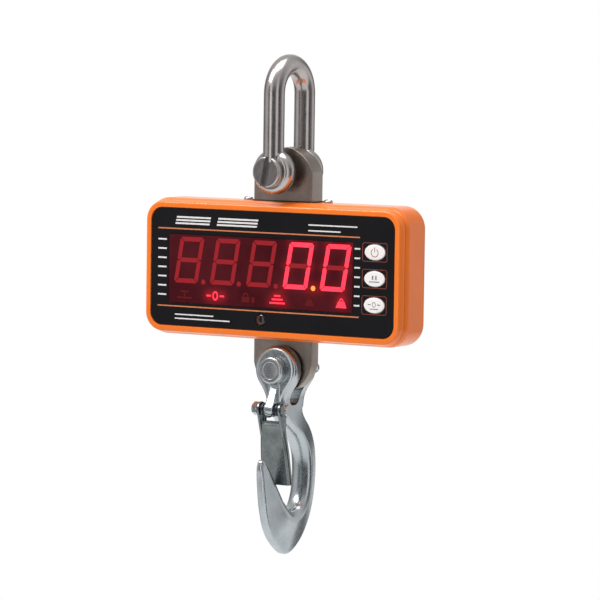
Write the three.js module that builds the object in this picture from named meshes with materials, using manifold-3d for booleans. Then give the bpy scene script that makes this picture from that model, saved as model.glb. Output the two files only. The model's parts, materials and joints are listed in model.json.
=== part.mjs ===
// Crane scale: a D-shackle, a steel load-cell bar inside a cast casing with an LED panel, and a
// clevis hook with a sprung latch. Millimetres, +Z up. The front panel faces -Y. The origin is the
// inside top of the shackle bow, where a crane's hook bears.
import * as THREE from "three";
import { mergeVertices } from "three/addons/utils/BufferGeometryUtils.js";
import Module from "manifold-3d";

const wasm = await Module();
wasm.setup();

// ---------------------------------------------------------------- driving dimensions
const GAP = 0.3; // clearance between neighbouring pieces
const BIG = 400; // length of a cutter that passes right through

const WIRE_R = 6.7; // shackle wire radius
const LEG_Y = 18.6; // shackle leg centre from the load axis
const PIN_Z = -60.6; // height of the shackle pin
const PIN_R = 6; // shackle pin radius
const PIN_HOLE_R = 6.4;
const EAR_R = 14.3; // shackle ear radius
const LEG_INTO_EAR = 2; // how far a leg's end is buried in its ear
const EAR_IN = 13; // inner face of a shackle ear
const EAR_OUT = 22.8; // outer face of a shackle ear
const HEAD_R = 9.8; // shackle pin head
const HEAD_T = 5;
const SLOT_W = 4.6;
const SLOT_DEPTH = 3.6;
const SLOT_TILT = 0.21; // radians, the slot's lean from vertical

const CELL_HALF_W = 21.6; // load-cell bar
const CELL_HALF_T = 6.4; // top lug and middle
const CELL_HALF_T_LOW = 4; // bottom lug
const CELL_TOP = -45.3;
const CELL_END_R = 22.6; // top end
const CELL_LOW_R = 21.9; // bottom end
const CLEVIS_Z = PIN_Z - 125.8; // height of the clevis pin
const CELL_BOTTOM = CLEVIS_Z - 14.5;
const CLEVIS_R = 5.5; // clevis pin radius
const CLEVIS_HOLE_R = 5.9;
const CLEVIS_HEAD_R = 8.7;
const CLEVIS_END = 20.8; // far end of the clevis pin
const SPLIT_PIN_Y = 17.2;

const CASE_Z = -123.7; // casing centre height
const RIM_HALF_W = 93.8; // front rim outline
const RIM_HALF_H = 41.7;
const RIM_R = 12; // corner radius of the rim outline
const FRONT_Y = -21;
const SPLIT_Y = -15.7; // joint between front cover and rear shell
const BACK_Y = 10.5;
const WALL = 2.6;
const SPIGOT = 2.4; // how far the front cover reaches into the rear shell
const RIM_W = 3.7; // width of the orange rim round the panel
const PANEL_Y = -20.4; // front of the black overlay
const PANEL_T = 0.8;
const SEAT_Y = -19.3; // floor of the recess that holds the overlay

const WINDOW = { x0: -76.8, x1: 60.3, z0: -147, z1: -102.4 };
const DIGIT_X0 = -62; // centre of the first digit
const DIGIT_PITCH = 27.1;
const DIGIT_Z = -119;
const DIGIT_BODY = { halfW: 13.2, below: 16.5, above: 16 };
const KEY_X = 75.7;
const KEY_Z = [-108, -124.5, -141];
const KEY_NAMES = ["power", "hold", "zero"];
const KEY_HALF_W = 7.4;
const KEY_HALF_H = 4.9;
const LENS_X = -6.8;
const LENS_Z = -154.4;
const BOARD_Y = -9.6;
const BOARD_T = 1.6;
const BOARD_HALF = { w: 86.5, h: 27 };
const BOARD_SCREW = { x: 84, z: 22 };
const STRIP = { x0: -74, x1: 58, z0: -145.5, frontY: -17.6 }; // indicator lamps under the digits
const RECEIVER = { halfW: 2.6, frontY: -16.5, backY: -11, below: 2.8, above: 2.5 };
const BATTERY_BOX = { x0: 41, x1: 73, y0: -7, y1: 2, halfH: 23 };
const YOKE = { halfW: 36, height: 8, backY: 5.8, armT: 1.6 };
const TOP_SCREW_X = 29.5;
const CASING_OUT = 2.2; // the rear shell's largest offset from the rim outline
const SCREW_BORE = { r: 3.4, depth: 2.3 }; // counterbores of the bottom screws
const CASE_SCREW = { x: 84.5, z: 33 };
const DOOR = { x: 57, z: CASE_Z, halfW: 26, halfH: 27, ledge: 7 };
const SOCKET = { x: 62, y: -3, r: 4, capR: 6.2, capT: 1.3, depth: 9 };

const HOOK_EAR_IN = 6; // clevis gap is twice this
const HOOK_EAR_OUT = 13.8;
const HOOK_EYE_R = 15.1;
const THROAT_Z = CLEVIS_Z - 23.2;
const LATCH_Y = -16.8; // latch pivot
const LATCH_Z = -211.2;
const BOSS_R = 4.8; // boss round the latch bolt, and the spring's recess beside it
const BOSS_HALF_W = 3.3;
const BOLT_R = 2.4;
const LATCH_T = 1.5;
const LATCH_TILT = 0.178; // radians, the closed latch leans back from vertical

// ---------------------------------------------------------------- finishes
function finish(color, roughness, metalness) {
  return new THREE.MeshStandardMaterial({ color, roughness, metalness });
}

const STAINLESS = finish(0xa39b99, 0.16, 1);
const NICKEL = finish(0xa1958b, 0.42, 1);
const ZINC = finish(0x8b9092, 0.34, 1);
const SCREW_ZINC = finish(0xb4b1ad, 0.3, 1);
const BLUED = finish(0x3b4450, 0.35, 1);
const ORANGE = finish(0xf8782f, 0.3, 0);
const BLACK = finish(0x17171b, 0.35, 0);
const RED_WINDOW = finish(0x48151c, 0.2, 0);
const WHITE_KEY = finish(0xf5f0ee, 0.5, 0);
const LED_BODY = finish(0x2a2426, 0.6, 0);
const BOARD = finish(0x1f5a35, 0.6, 0);
const RUBBER = finish(0x1c1b1b, 0.8, 0);
const BATTERY = finish(0x3c5f8c, 0.5, 0);
const LENS = finish(0x1a0a0c, 0.1, 0);

// ---------------------------------------------------------------- solids
// A closed three.js geometry, moved by a matrix, as a solid.
function solid(geometry, matrix = new THREE.Matrix4()) {
  const moved = geometry.index ? geometry.toNonIndexed() : geometry.clone();
  moved.deleteAttribute("normal");
  moved.deleteAttribute("uv");
  moved.applyMatrix4(matrix);
  const merged = mergeVertices(moved, 1e-4);
  return new wasm.Manifold(
    new wasm.Mesh({
      numProp: 3,
      vertProperties: new Float32Array(merged.attributes.position.array),
      triVerts: new Uint32Array(merged.index.array),
    }),
  );
}

// The geometry of a solid.
function geometryOf(made) {
  const { vertProperties, triVerts, numProp, numVert } = made.getMesh();
  const position = new Float32Array(numVert * 3);
  for (let i = 0; i < numVert; i++) {
    position.set(vertProperties.subarray(i * numProp, i * numProp + 3), i * 3);
  }
  const geometry = new THREE.BufferGeometry();
  geometry.setAttribute("position", new THREE.BufferAttribute(position, 3));
  geometry.setIndex(new THREE.BufferAttribute(triVerts, 1));
  geometry.computeVertexNormals();
  return geometry;
}

const crane = new THREE.Group();

function place(parent, name, made, material) {
  const mesh = new THREE.Mesh(geometryOf(made), material);
  mesh.name = name;
  parent.add(mesh);
}

function union(...solids) {
  return solids.reduce((whole, next) => whole.add(next));
}

function cut(whole, ...tools) {
  return tools.reduce((rest, tool) => rest.subtract(tool), whole);
}

// A matrix whose columns are the world directions of a shape's own x, y and z.
function basis(x, y, z) {
  return new THREE.Matrix4().makeBasis(
    new THREE.Vector3(...x),
    new THREE.Vector3(...y),
    new THREE.Vector3(...z),
  );
}

function prism(shape, depth, curveSegments) {
  return new THREE.ExtrudeGeometry(shape, { depth, bevelEnabled: false, curveSegments });
}

// A shape drawn in X and Z, from y0 to y1.
function alongY(shape, y0, y1, curveSegments = 6) {
  const matrix = basis([1, 0, 0], [0, 0, 1], [0, -1, 0]).setPosition(0, y1, 0);
  return solid(prism(shape, y1 - y0, curveSegments), matrix);
}

// A shape drawn in Y and Z, from x0 to x1.
function alongX(shape, x0, x1, curveSegments = 6) {
  const matrix = basis([0, 1, 0], [0, 0, 1], [1, 0, 0]).setPosition(x0, 0, 0);
  return solid(prism(shape, x1 - x0, curveSegments), matrix);
}

// A shape drawn in X and Y, from z0 to z1.
function alongZ(shape, z0, z1, curveSegments = 6) {
  return solid(
    prism(shape, z1 - z0, curveSegments),
    new THREE.Matrix4().makeTranslation(0, 0, z0),
  );
}

function block(x0, x1, y0, y1, z0, z1) {
  const geometry = new THREE.BoxGeometry(x1 - x0, y1 - y0, z1 - z0);
  return solid(
    geometry,
    new THREE.Matrix4().makeTranslation((x0 + x1) / 2, (y0 + y1) / 2, (z0 + z1) / 2),
  );
}

const AXIS = {
  x: basis([0, 1, 0], [1, 0, 0], [0, 0, -1]),
  y: new THREE.Matrix4(),
  z: basis([1, 0, 0], [0, 0, 1], [0, -1, 0]),
};

// A profile of [radius, height] points, from low to high, turned about an axis through a point.
function turned(profile, axis, at, sides = 24) {
  const points = profile.map(([r, h]) => new THREE.Vector2(r, h));
  const matrix = AXIS[axis].clone().setPosition(...at);
  return solid(new THREE.LatheGeometry(points, sides), matrix);
}

function rod(r, h0, h1, axis, at, sides = 16) {
  return turned([[0, h0], [r, h0], [r, h1], [0, h1]], axis, at, sides);
}

// A pan-head or round-head screw: the head reaches from 0 to headT, the shank to -length.
function screw(headR, headT, shankR, length, axis, at, sign, sides = 12) {
  const profile = [
    [0, -length],
    [shankR, -length],
    [shankR, 0],
    [headR, 0],
    [headR, headT * 0.55],
    [headR * 0.72, headT],
    [0, headT],
  ];
  const turnedUp = sign > 0 ? profile : profile.map(([r, h]) => [r, -h]).reverse();
  return turned(turnedUp, axis, at, sides);
}

function roundedRect(cx, cy, halfW, halfH, r) {
  const shape = new THREE.Shape();
  shape.moveTo(cx - halfW + r, cy - halfH);
  shape.lineTo(cx + halfW - r, cy - halfH);
  shape.absarc(cx + halfW - r, cy - halfH + r, r, -Math.PI / 2, 0);
  shape.lineTo(cx + halfW, cy + halfH - r);
  shape.absarc(cx + halfW - r, cy + halfH - r, r, 0, Math.PI / 2);
  shape.lineTo(cx - halfW + r, cy + halfH);
  shape.absarc(cx - halfW + r, cy + halfH - r, r, Math.PI / 2, Math.PI);
  shape.lineTo(cx - halfW, cy - halfH + r);
  shape.absarc(cx - halfW + r, cy - halfH + r, r, Math.PI, 1.5 * Math.PI);
  return shape;
}

function oval(cx, cy, halfW, halfH) {
  const shape = new THREE.Shape();
  shape.absellipse(cx, cy, halfW, halfH, 0, 2 * Math.PI);
  return shape;
}

function polygon(points) {
  return new THREE.Shape(points.map(([u, v]) => new THREE.Vector2(u, v)));
}

// Rings of equal length joined in order, with a flat cap on each end. Each ring is convex and
// runs anticlockwise as seen from beyond the last ring.
function loft(rings) {
  const count = rings[0].length;
  const position = rings.flat().flatMap((p) => [p.x, p.y, p.z]);
  const index = [];
  for (let ring = 0; ring < rings.length - 1; ring++) {
    for (let i = 0; i < count; i++) {
      const a = ring * count + i;
      const b = ring * count + ((i + 1) % count);
      index.push(a, b, b + count, a, b + count, a + count);
    }
  }
  const last = (rings.length - 1) * count;
  for (let i = 1; i < count - 1; i++) {
    index.push(0, i + 1, i);
    index.push(last, last + i, last + i + 1);
  }
  const geometry = new THREE.BufferGeometry();
  geometry.setAttribute("position", new THREE.Float32BufferAttribute(position, 3));
  geometry.setIndex(index);
  return solid(geometry);
}

// ---------------------------------------------------------------- shackle
// The wire's centre line: up one leg, round the bow and down the other leg.
class BowLine extends THREE.Curve {
  getPoint(t) {
    const centre = WIRE_R - LEG_Y;
    const straight = centre - (PIN_Z + EAR_R - LEG_INTO_EAR);
    const bend = Math.PI * LEG_Y;
    const s = t * (2 * straight + bend);
    if (s < straight) return new THREE.Vector3(0, -LEG_Y, centre - straight + s);
    if (s > straight + bend) {
      return new THREE.Vector3(0, LEG_Y, centre - (s - straight - bend));
    }
    const angle = Math.PI - (s - straight) / LEG_Y;
    return new THREE.Vector3(0, LEG_Y * Math.cos(angle), centre + LEG_Y * Math.sin(angle));
  }
}

function shackleBow() {
  const wire = new THREE.Shape().absarc(0, 0, WIRE_R, 0, 2 * Math.PI);
  const swept = new THREE.ExtrudeGeometry(wire, {
    extrudePath: new BowLine(),
    steps: 32,
    curveSegments: 7,
  });
  const ear = [
    [0, EAR_IN],
    [EAR_R - 1.8, EAR_IN],
    [EAR_R - 0.3, EAR_IN + 1.6],
    [EAR_R, EAR_IN + 4],
    [EAR_R - 0.5, EAR_OUT - 2.6],
    [EAR_R - 3, EAR_OUT],
    [0, EAR_OUT],
  ];
  const mirrored = ear.map(([r, h]) => [r, -h]).reverse();
  const at = [0, 0, PIN_Z];
  const bow = union(solid(swept), turned(ear, "y", at), turned(mirrored, "y", at));
  return cut(bow, rod(PIN_R + GAP, -BIG, BIG, "y", at, 24));
}

function shacklePin() {
  const under = -EAR_OUT - GAP;
  const profile = [
    [0, under - HEAD_T],
    [HEAD_R - 0.9, under - HEAD_T],
    [HEAD_R, under - HEAD_T + 0.9],
    [HEAD_R, under],
    [PIN_R, under],
    [PIN_R, EAR_OUT - 0.6],
    [PIN_R - 0.8, EAR_OUT + 0.2],
    [0, EAR_OUT + 0.2],
  ];
  const pin = turned(profile, "y", [0, 0, PIN_Z]);
  const slot = new THREE.BoxGeometry(SLOT_W, 2 * SLOT_DEPTH, 4 * HEAD_R);
  const at = new THREE.Matrix4()
    .makeTranslation(0, under - HEAD_T, PIN_Z)
    .multiply(new THREE.Matrix4().makeRotationY(SLOT_TILT));
  return cut(pin, solid(slot, at));
}

// ---------------------------------------------------------------- load cell
function cellOutline() {
  const topLift = Math.sqrt(CELL_END_R ** 2 - CELL_HALF_W ** 2);
  const lowLift = Math.sqrt(CELL_LOW_R ** 2 - CELL_HALF_W ** 2);
  const topCentre = CELL_TOP - CELL_END_R;
  const lowCentre = CELL_BOTTOM + CELL_LOW_R;
  const topHalf = Math.atan2(CELL_HALF_W, topLift);
  const lowHalf = Math.atan2(CELL_HALF_W, lowLift);
  const up = Math.PI / 2;
  const shape = new THREE.Shape();
  shape.moveTo(CELL_HALF_W, lowCentre - lowLift);
  shape.lineTo(CELL_HALF_W, topCentre + topLift);
  shape.absarc(0, topCentre, CELL_END_R, up - topHalf, up + topHalf);
  shape.lineTo(-CELL_HALF_W, lowCentre - lowLift);
  shape.absarc(0, lowCentre, CELL_LOW_R, -up - lowHalf, -up + lowHalf);
  return shape;
}

const POCKET = { halfW: 13, halfH: 17.5, floorY: 2.5 };

function loadCell() {
  const pocket = roundedRect(0, CASE_Z, POCKET.halfW, POCKET.halfH, 6);
  const thinFrom = CASE_Z - RIM_HALF_H + 11;
  return cut(
    alongY(cellOutline(), -CELL_HALF_T, CELL_HALF_T, 8),
    rod(PIN_HOLE_R, -BIG, BIG, "y", [0, 0, PIN_Z], 24),
    rod(CLEVIS_HOLE_R, -BIG, BIG, "y", [0, 0, CLEVIS_Z], 24),
    alongY(pocket, -BIG, -POCKET.floorY, 4),
    alongY(pocket, POCKET.floorY, BIG, 4),
    block(-BIG, BIG, -BIG, -CELL_HALF_T_LOW, -BIG, thinFrom),
    block(-BIG, BIG, CELL_HALF_T_LOW, BIG, -BIG, thinFrom),
  );
}

function gauge(side) {
  const y = side * (POCKET.floorY + GAP + 0.4);
  return block(-7, 7, y - 0.4, y + 0.4, CASE_Z - 5, CASE_Z + 5);
}

// A U-shaped block that hugs the bar from the front and takes the casing screws.
function yoke(side) {
  const outer = CASE_Z + side * (RIM_HALF_H - WALL - GAP);
  const inner = outer - side * YOKE.height;
  const [z0, z1] = side > 0 ? [inner, outer] : [outer, inner];
  const halfT = side > 0 ? CELL_HALF_T : CELL_HALF_T_LOW;
  const arms = block(-YOKE.halfW, YOKE.halfW, -halfT - GAP - YOKE.armT, YOKE.backY, z0, z1);
  const slot = block(-CELL_HALF_W - GAP, CELL_HALF_W + GAP, -halfT - GAP, BIG, -BIG, BIG);
  const holes = [-1, 1].map((x) =>
    rod(1.8, outer - YOKE.height, outer + YOKE.height, "z", [x * TOP_SCREW_X, 0, 0], 8),
  );
  return cut(arms, slot, ...holes);
}

// ---------------------------------------------------------------- casing
// The casing's outline at a depth, grown by an offset, as a ring in X and Z.
function outlineRing(offset, y) {
  const halfW = RIM_HALF_W + offset;
  const halfH = RIM_HALF_H + offset;
  const r = RIM_R + offset;
  const perCorner = 5;
  const ring = [];
  for (let corner = 0; corner < 4; corner++) {
    const cx = (halfW - r) * (corner === 0 || corner === 3 ? 1 : -1);
    const cz = (halfH - r) * (corner < 2 ? 1 : -1);
    for (let i = 0; i <= perCorner; i++) {
      const angle = ((corner + i / perCorner) * Math.PI) / 2;
      const x = cx + r * Math.cos(angle);
      const z = CASE_Z + cz + r * Math.sin(angle);
      ring.push(new THREE.Vector3(x, y, z));
    }
  }
  return ring.reverse();
}

// Levels of [offset, y], front to back.
function casing(levels) {
  return loft(levels.map(([offset, y]) => outlineRing(offset, y)));
}

function corners(make) {
  return [-1, 1].flatMap((sx) => [-1, 1].map((sz) => make(sx, sz)));
}

function boardScrewAt(sx, sz) {
  return [sx * BOARD_SCREW.x, 0, CASE_Z + sz * BOARD_SCREW.z];
}

function caseScrewAt(sx, sz) {
  return [sx * CASE_SCREW.x, 0, CASE_Z + sz * CASE_SCREW.z];
}

function frontCover() {
  const body = casing([
    [-1.7, FRONT_Y],
    [-0.5, FRONT_Y + 0.3],
    [0, FRONT_Y + 0.9],
    [1, FRONT_Y + 4.6],
    [0.7, SPLIT_Y - GAP],
  ]);
  const spigot = cut(
    casing([
      [-WALL - GAP, SPLIT_Y - 1],
      [-WALL - GAP, SPLIT_Y + SPIGOT],
    ]),
    casing([
      [-WALL - 2.3, SPLIT_Y - 2],
      [-WALL - 2.3, SPLIT_Y + 3],
    ]),
  );
  const posts = corners((sx, sz) =>
    rod(4.4, SPLIT_Y - 1, SPLIT_Y + SPIGOT, "y", caseScrewAt(sx, sz)),
  );
  const boardPosts = corners((sx, sz) =>
    rod(2.6, SPLIT_Y - 1, BOARD_Y - GAP, "y", boardScrewAt(sx, sz), 10),
  );
  const screwHoles = corners((sx, sz) =>
    rod(1.8, SEAT_Y + 1, BIG, "y", caseScrewAt(sx, sz), 8),
  );
  const boardHoles = corners((sx, sz) =>
    rod(1.3, SEAT_Y + 3, BIG, "y", boardScrewAt(sx, sz), 8),
  );
  const recess = casing([
    [-RIM_W, -BIG],
    [-RIM_W, SEAT_Y],
  ]);
  const keyHoles = KEY_Z.map((z) =>
    alongY(oval(KEY_X, z, KEY_HALF_W + 1.3, KEY_HALF_H + 1.3), -BIG, BIG, 5),
  );
  return cut(
    union(body, spigot, ...posts, ...boardPosts),
    ...screwHoles,
    ...boardHoles,
    recess,
    block(WINDOW.x0, WINDOW.x1, -BIG, BIG, WINDOW.z0, WINDOW.z1),
    ...keyHoles,
    rod(4, -BIG, BIG, "y", [LENS_X, 0, LENS_Z], 12),
  );
}

// The opening round the bar, at the top or the bottom of the rear shell.
function barSlot(halfT) {
  return roundedRect(0, 0, CELL_HALF_W + 1.6, halfT + 1.6, 2);
}

function rearShell() {
  const shell = casing([
    [0.9, SPLIT_Y],
    [1.7, SPLIT_Y + 1.6],
    [CASING_OUT, SPLIT_Y + 4],
    [CASING_OUT, BACK_Y - 5],
    [1.2, BACK_Y - 2.2],
    [-0.4, BACK_Y - 0.6],
    [-2.8, BACK_Y],
  ]);
  const room = casing([
    [-WALL, SPLIT_Y - 1],
    [-WALL, BACK_Y - WALL],
  ]);
  const posts = corners((sx, sz) =>
    rod(4.4, SPLIT_Y + SPIGOT + GAP, BACK_Y - 1, "y", caseScrewAt(sx, sz)),
  );
  const doorPosts = [-1, 1].map((s) =>
    rod(3, 2.5, BACK_Y - 1.6, "y", [DOOR.x + s * (DOOR.halfW - 3.6), 0, DOOR.z], 10),
  );
  const doorHoles = [-1, 1].map((s) =>
    rod(1.6, 3.5, BIG, "y", [DOOR.x + s * (DOOR.halfW - 3.6), 0, DOOR.z], 8),
  );
  const caseHoles = corners((sx, sz) => {
    const at = caseScrewAt(sx, sz);
    return union(rod(1.8, -BIG, BIG, "y", at, 8), rod(3.4, BACK_Y - 3, BIG, "y", at, 12));
  });
  const topHoles = [-1, 1].map((s) => rod(1.8, -BIG, BIG, "z", [s * TOP_SCREW_X, 0, 0], 8));
  const underside = CASE_Z - RIM_HALF_H - CASING_OUT;
  const screwBores = [-1, 1].map((s) =>
    rod(SCREW_BORE.r, -BIG, underside + SCREW_BORE.depth, "z", [s * TOP_SCREW_X, 0, 0], 12),
  );
  const socketAt = [SOCKET.x, SOCKET.y, 0];
  const { x, z, halfW, halfH, ledge } = DOOR;
  return cut(
    union(cut(shell, room), ...posts, ...doorPosts),
    alongZ(barSlot(CELL_HALF_T), CASE_Z, BIG, 3),
    alongZ(barSlot(CELL_HALF_T_LOW), -BIG, CASE_Z, 3),
    ...caseHoles,
    ...topHoles,
    ...screwBores,
    alongY(roundedRect(x, z, halfW, halfH, 3), BACK_Y - 1.4, BIG, 3),
    alongY(roundedRect(x, z, halfW - ledge, halfH - 3, 2), 0, BIG, 3),
    ...doorHoles,
    rod(SOCKET.r + 0.4, -BIG, CASE_Z, "z", socketAt, 14),
    rod(SOCKET.capR + GAP, -BIG, underside + SOCKET.capT + GAP, "z", socketAt, 18),
  );
}

function barSeal(side) {
  const halfT = side > 0 ? CELL_HALF_T : CELL_HALF_T_LOW;
  const outside = CASE_Z + side * (RIM_HALF_H + 2.9);
  const inside = CASE_Z + side * (RIM_HALF_H - 0.8);
  const [z0, z1] = side > 0 ? [inside, outside] : [outside, inside];
  const ring = roundedRect(0, 0, CELL_HALF_W + 1.6 - GAP, halfT + 1.6 - GAP, 1.8);
  const hole = roundedRect(0, 0, CELL_HALF_W + GAP, halfT + GAP, 0.6);
  return cut(alongZ(ring, z0, z1, 3), alongZ(hole, -BIG, BIG, 2));
}

function yokeScrew(x, side) {
  const sunk = side > 0 ? 0 : SCREW_BORE.depth;
  const under = CASE_Z + side * (RIM_HALF_H + CASING_OUT - sunk + GAP / 2);
  return screw(3, 2, 1.4, 8, "z", [x * TOP_SCREW_X, 0, under], side);
}

function caseScrew(sx, sz) {
  const at = [sx * CASE_SCREW.x, BACK_Y - 3 + GAP, CASE_Z + sz * CASE_SCREW.z];
  return screw(2.9, 2, 1.4, 23.5, "y", at, 1);
}

function batteryDoor() {
  const { x, z, halfW, halfH, ledge } = DOOR;
  const holes = [-1, 1].map((s) =>
    rod(1.6, -BIG, BIG, "y", [x + s * (halfW - 3.6), 0, z], 8),
  );
  const plate = roundedRect(x, z, halfW - GAP, halfH - GAP, 2.7);
  const inner = roundedRect(x, z, halfW - ledge - GAP, halfH - 3 - GAP, 1.7);
  const low = BACK_Y - WALL + 0.4;
  return cut(
    union(
      alongY(plate, BACK_Y - 1.4 + GAP, BACK_Y, 3),
      alongY(inner, low, BACK_Y - 0.5, 3),
    ),
    ...holes,
  );
}

function doorScrew(side) {
  const at = [DOOR.x + side * (DOOR.halfW - 3.6), BACK_Y + 0.15, DOOR.z];
  return screw(2.6, 1.1, 1.2, 5, "y", at, 1);
}

// A rubber cap flush with the casing's underside, and the socket above it.
function socketCap() {
  const low = CASE_Z - RIM_HALF_H - CASING_OUT;
  return rod(SOCKET.capR, low, low + SOCKET.capT, "z", [SOCKET.x, SOCKET.y, 0], 18);
}

function chargingSocket() {
  const low = CASE_Z - RIM_HALF_H - CASING_OUT + SOCKET.capT + GAP;
  const high = CASE_Z - RIM_HALF_H + SOCKET.depth;
  return rod(SOCKET.r, low, high, "z", [SOCKET.x, SOCKET.y, 0], 14);
}

function battery() {
  const { x0, x1, y0, y1, halfH } = BATTERY_BOX;
  return block(x0, x1, y0, y1, CASE_Z - halfH, CASE_Z + halfH);
}

// ---------------------------------------------------------------- panel and electronics
function overlay() {
  const sheet = casing([
    [-RIM_W - GAP, PANEL_Y],
    [-RIM_W - GAP, PANEL_Y + PANEL_T],
  ]);
  const keyHoles = KEY_Z.map((z) =>
    alongY(oval(KEY_X, z, KEY_HALF_W + GAP, KEY_HALF_H + GAP), -BIG, BIG, 6),
  );
  return cut(
    sheet,
    block(WINDOW.x0, WINDOW.x1, -BIG, BIG, WINDOW.z0, WINDOW.z1),
    ...keyHoles,
    rod(3.95, -BIG, BIG, "y", [LENS_X, 0, LENS_Z], 16),
  );
}

function displayWindow() {
  const { x0, x1, z0, z1 } = WINDOW;
  return block(x0 + GAP, x1 - GAP, PANEL_Y + 0.05, -18.2, z0 + GAP, z1 - GAP);
}

function ledDigit(i) {
  const x = DIGIT_X0 + i * DIGIT_PITCH;
  const { halfW, below, above } = DIGIT_BODY;
  const [z0, z1] = [DIGIT_Z - below, DIGIT_Z + above];
  return block(x - halfW, x + halfW, STRIP.frontY, BOARD_Y - GAP, z0, z1);
}

function indicatorStrip() {
  const { x0, x1, z0, frontY } = STRIP;
  return block(x0, x1, frontY, BOARD_Y - GAP, z0, DIGIT_Z - DIGIT_BODY.below - GAP);
}

function infraredReceiver() {
  const { halfW, frontY, backY, below, above } = RECEIVER;
  return block(LENS_X - halfW, LENS_X + halfW, frontY, backY, LENS_Z - below, LENS_Z + above);
}

function keyCap(z) {
  return union(
    alongY(oval(KEY_X, z, KEY_HALF_W, KEY_HALF_H), PANEL_Y - 0.3, SEAT_Y, 6),
    alongY(oval(KEY_X, z, KEY_HALF_W + 0.8, KEY_HALF_H + 0.8), SEAT_Y, SEAT_Y + 1, 5),
    rod(2, SEAT_Y + 0.5, -13.4, "y", [KEY_X, 0, z], 10),
  );
}

function tactSwitch(z) {
  return union(
    block(KEY_X - 3, KEY_X + 3, -12.9, BOARD_Y - GAP, z - 3, z + 3),
    rod(1.7, -12.6 - 0.2, -11, "y", [KEY_X, 0, z], 8),
  );
}

function mainBoard() {
  const { w, h } = BOARD_HALF;
  const board = block(-w, w, BOARD_Y, BOARD_Y + BOARD_T, CASE_Z - h, CASE_Z + h);
  const holes = corners((sx, sz) => rod(1.5, -BIG, BIG, "y", boardScrewAt(sx, sz), 8));
  return cut(board, ...holes);
}

function boardScrew(sx, sz) {
  const [x, , z] = boardScrewAt(sx, sz);
  return screw(2.2, 1.2, 1, 6, "y", [x, BOARD_Y + BOARD_T + 0.2, z], 1, 10);
}

function sensorLens() {
  const profile = [
    [0, PANEL_Y - 0.5],
    [1.6, PANEL_Y - 0.4],
    [2.9, PANEL_Y],
    [3.6, PANEL_Y + 0.7],
    [3.6, PANEL_Y + 3],
    [0, PANEL_Y + 3],
  ];
  return turned(profile, "y", [LENS_X, 0, LENS_Z], 16);
}

// ---------------------------------------------------------------- hook
// Stations from the tip to the neck: inner and outer point in Y and Z (Z from the shackle pin),
// half-width at the inner side and at the outer edge.
const HOOK_STATIONS = [
  { inner: [-27.6, -181.6], outer: [-30.2, -182.6], wide: 1.9, edge: 1.6 },
  { inner: [-26.2, -183.4], outer: [-30.9, -187], wide: 2.5, edge: 2 },
  { inner: [-22.5, -187.2], outer: [-30, -193.5], wide: 3, edge: 2.7 },
  { inner: [-17.7, -192.2], outer: [-28.9, -202], wide: 3.4, edge: 2.9 },
  { inner: [-13.4, -197.6], outer: [-27.7, -209.5], wide: 3.9, edge: 3 },
  { inner: [-9.4, -203.2], outer: [-25.8, -217.6], wide: 4.6, edge: 3 },
  { inner: [-5.4, -208.8], outer: [-21.9, -227.4], wide: 5.6, edge: 3 },
  { inner: [-1.4, -213.4], outer: [-14, -236.8], wide: 6.7, edge: 3 },
  { inner: [3.4, -216.2], outer: [0.2, -245], wide: 7.4, edge: 3 },
  { inner: [9.3, -215.4], outer: [15.4, -238.6], wide: 7.6, edge: 2.9 },
  { inner: [14.2, -210.8], outer: [26.5, -226.5], wide: 7.6, edge: 2.7 },
  { inner: [16.8, -203.4], outer: [33, -212.4], wide: 7.5, edge: 2.5 },
  { inner: [17.6, -194], outer: [35.6, -195.5], wide: 7.5, edge: 2.5 },
  { inner: [16.6, -184.5], outer: [34.6, -181.5], wide: 7.4, edge: 2.6 },
  { inner: [13.2, -176.6], outer: [30.5, -171.8], wide: 7.2, edge: 3.2 },
  { inner: [8, -170.6], outer: [24.4, -164.2], wide: 6.9, edge: 4 },
  { inner: [1.4, -165.8], outer: [17.6, -158.8], wide: 6.6, edge: 5 },
  { inner: [-6, -160.2], outer: [13, -153.6], wide: 6.3, edge: 5.8 },
  { inner: [-11.6, -153.6], outer: [12.8, -149], wide: 6.2, edge: 6.2 },
  { inner: [-12.8, -148.6], outer: [12.9, -145], wide: 6.3, edge: 6.3 },
];

// Half-width of a hook section against depth from its inner side: [depth, share of wide, of edge].
const HOOK_SECTION = [
  [0.05, 0.5, 0],
  [0.13, 0.82, 0],
  [0.28, 1, 0],
  [0.6, 0.56, 0.44],
  [0.9, 0.06, 0.94],
  [0.97, 0, 0.7],
];

function hookRing({ inner, outer, wide, edge }) {
  const at = (depth, x) =>
    new THREE.Vector3(
      x,
      THREE.MathUtils.lerp(inner[0], outer[0], depth),
      PIN_Z + THREE.MathUtils.lerp(inner[1], outer[1], depth),
    );
  const side = HOOK_SECTION.map(([depth, a, b]) => [depth, a * wide + b * edge]);
  const right = side.map(([depth, x]) => at(depth, x));
  const left = side.map(([depth, x]) => at(depth, -x)).reverse();
  return [at(0, 0), ...right, at(1, 0), ...left];
}

function hookEarOutline() {
  const z = CLEVIS_Z;
  const shape = new THREE.Shape();
  shape.moveTo(-6.2, z - 25.2);
  shape.lineTo(6.2, z - 25.2);
  shape.lineTo(6.4, z - 19.2);
  shape.quadraticCurveTo(7.8, z - 14.5, 11.8, z - 9.4);
  shape.absarc(0, z, HOOK_EYE_R, -0.67, Math.PI + 0.67);
  shape.quadraticCurveTo(-7.8, z - 14.5, -6.4, z - 19.2);
  return shape;
}

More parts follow.
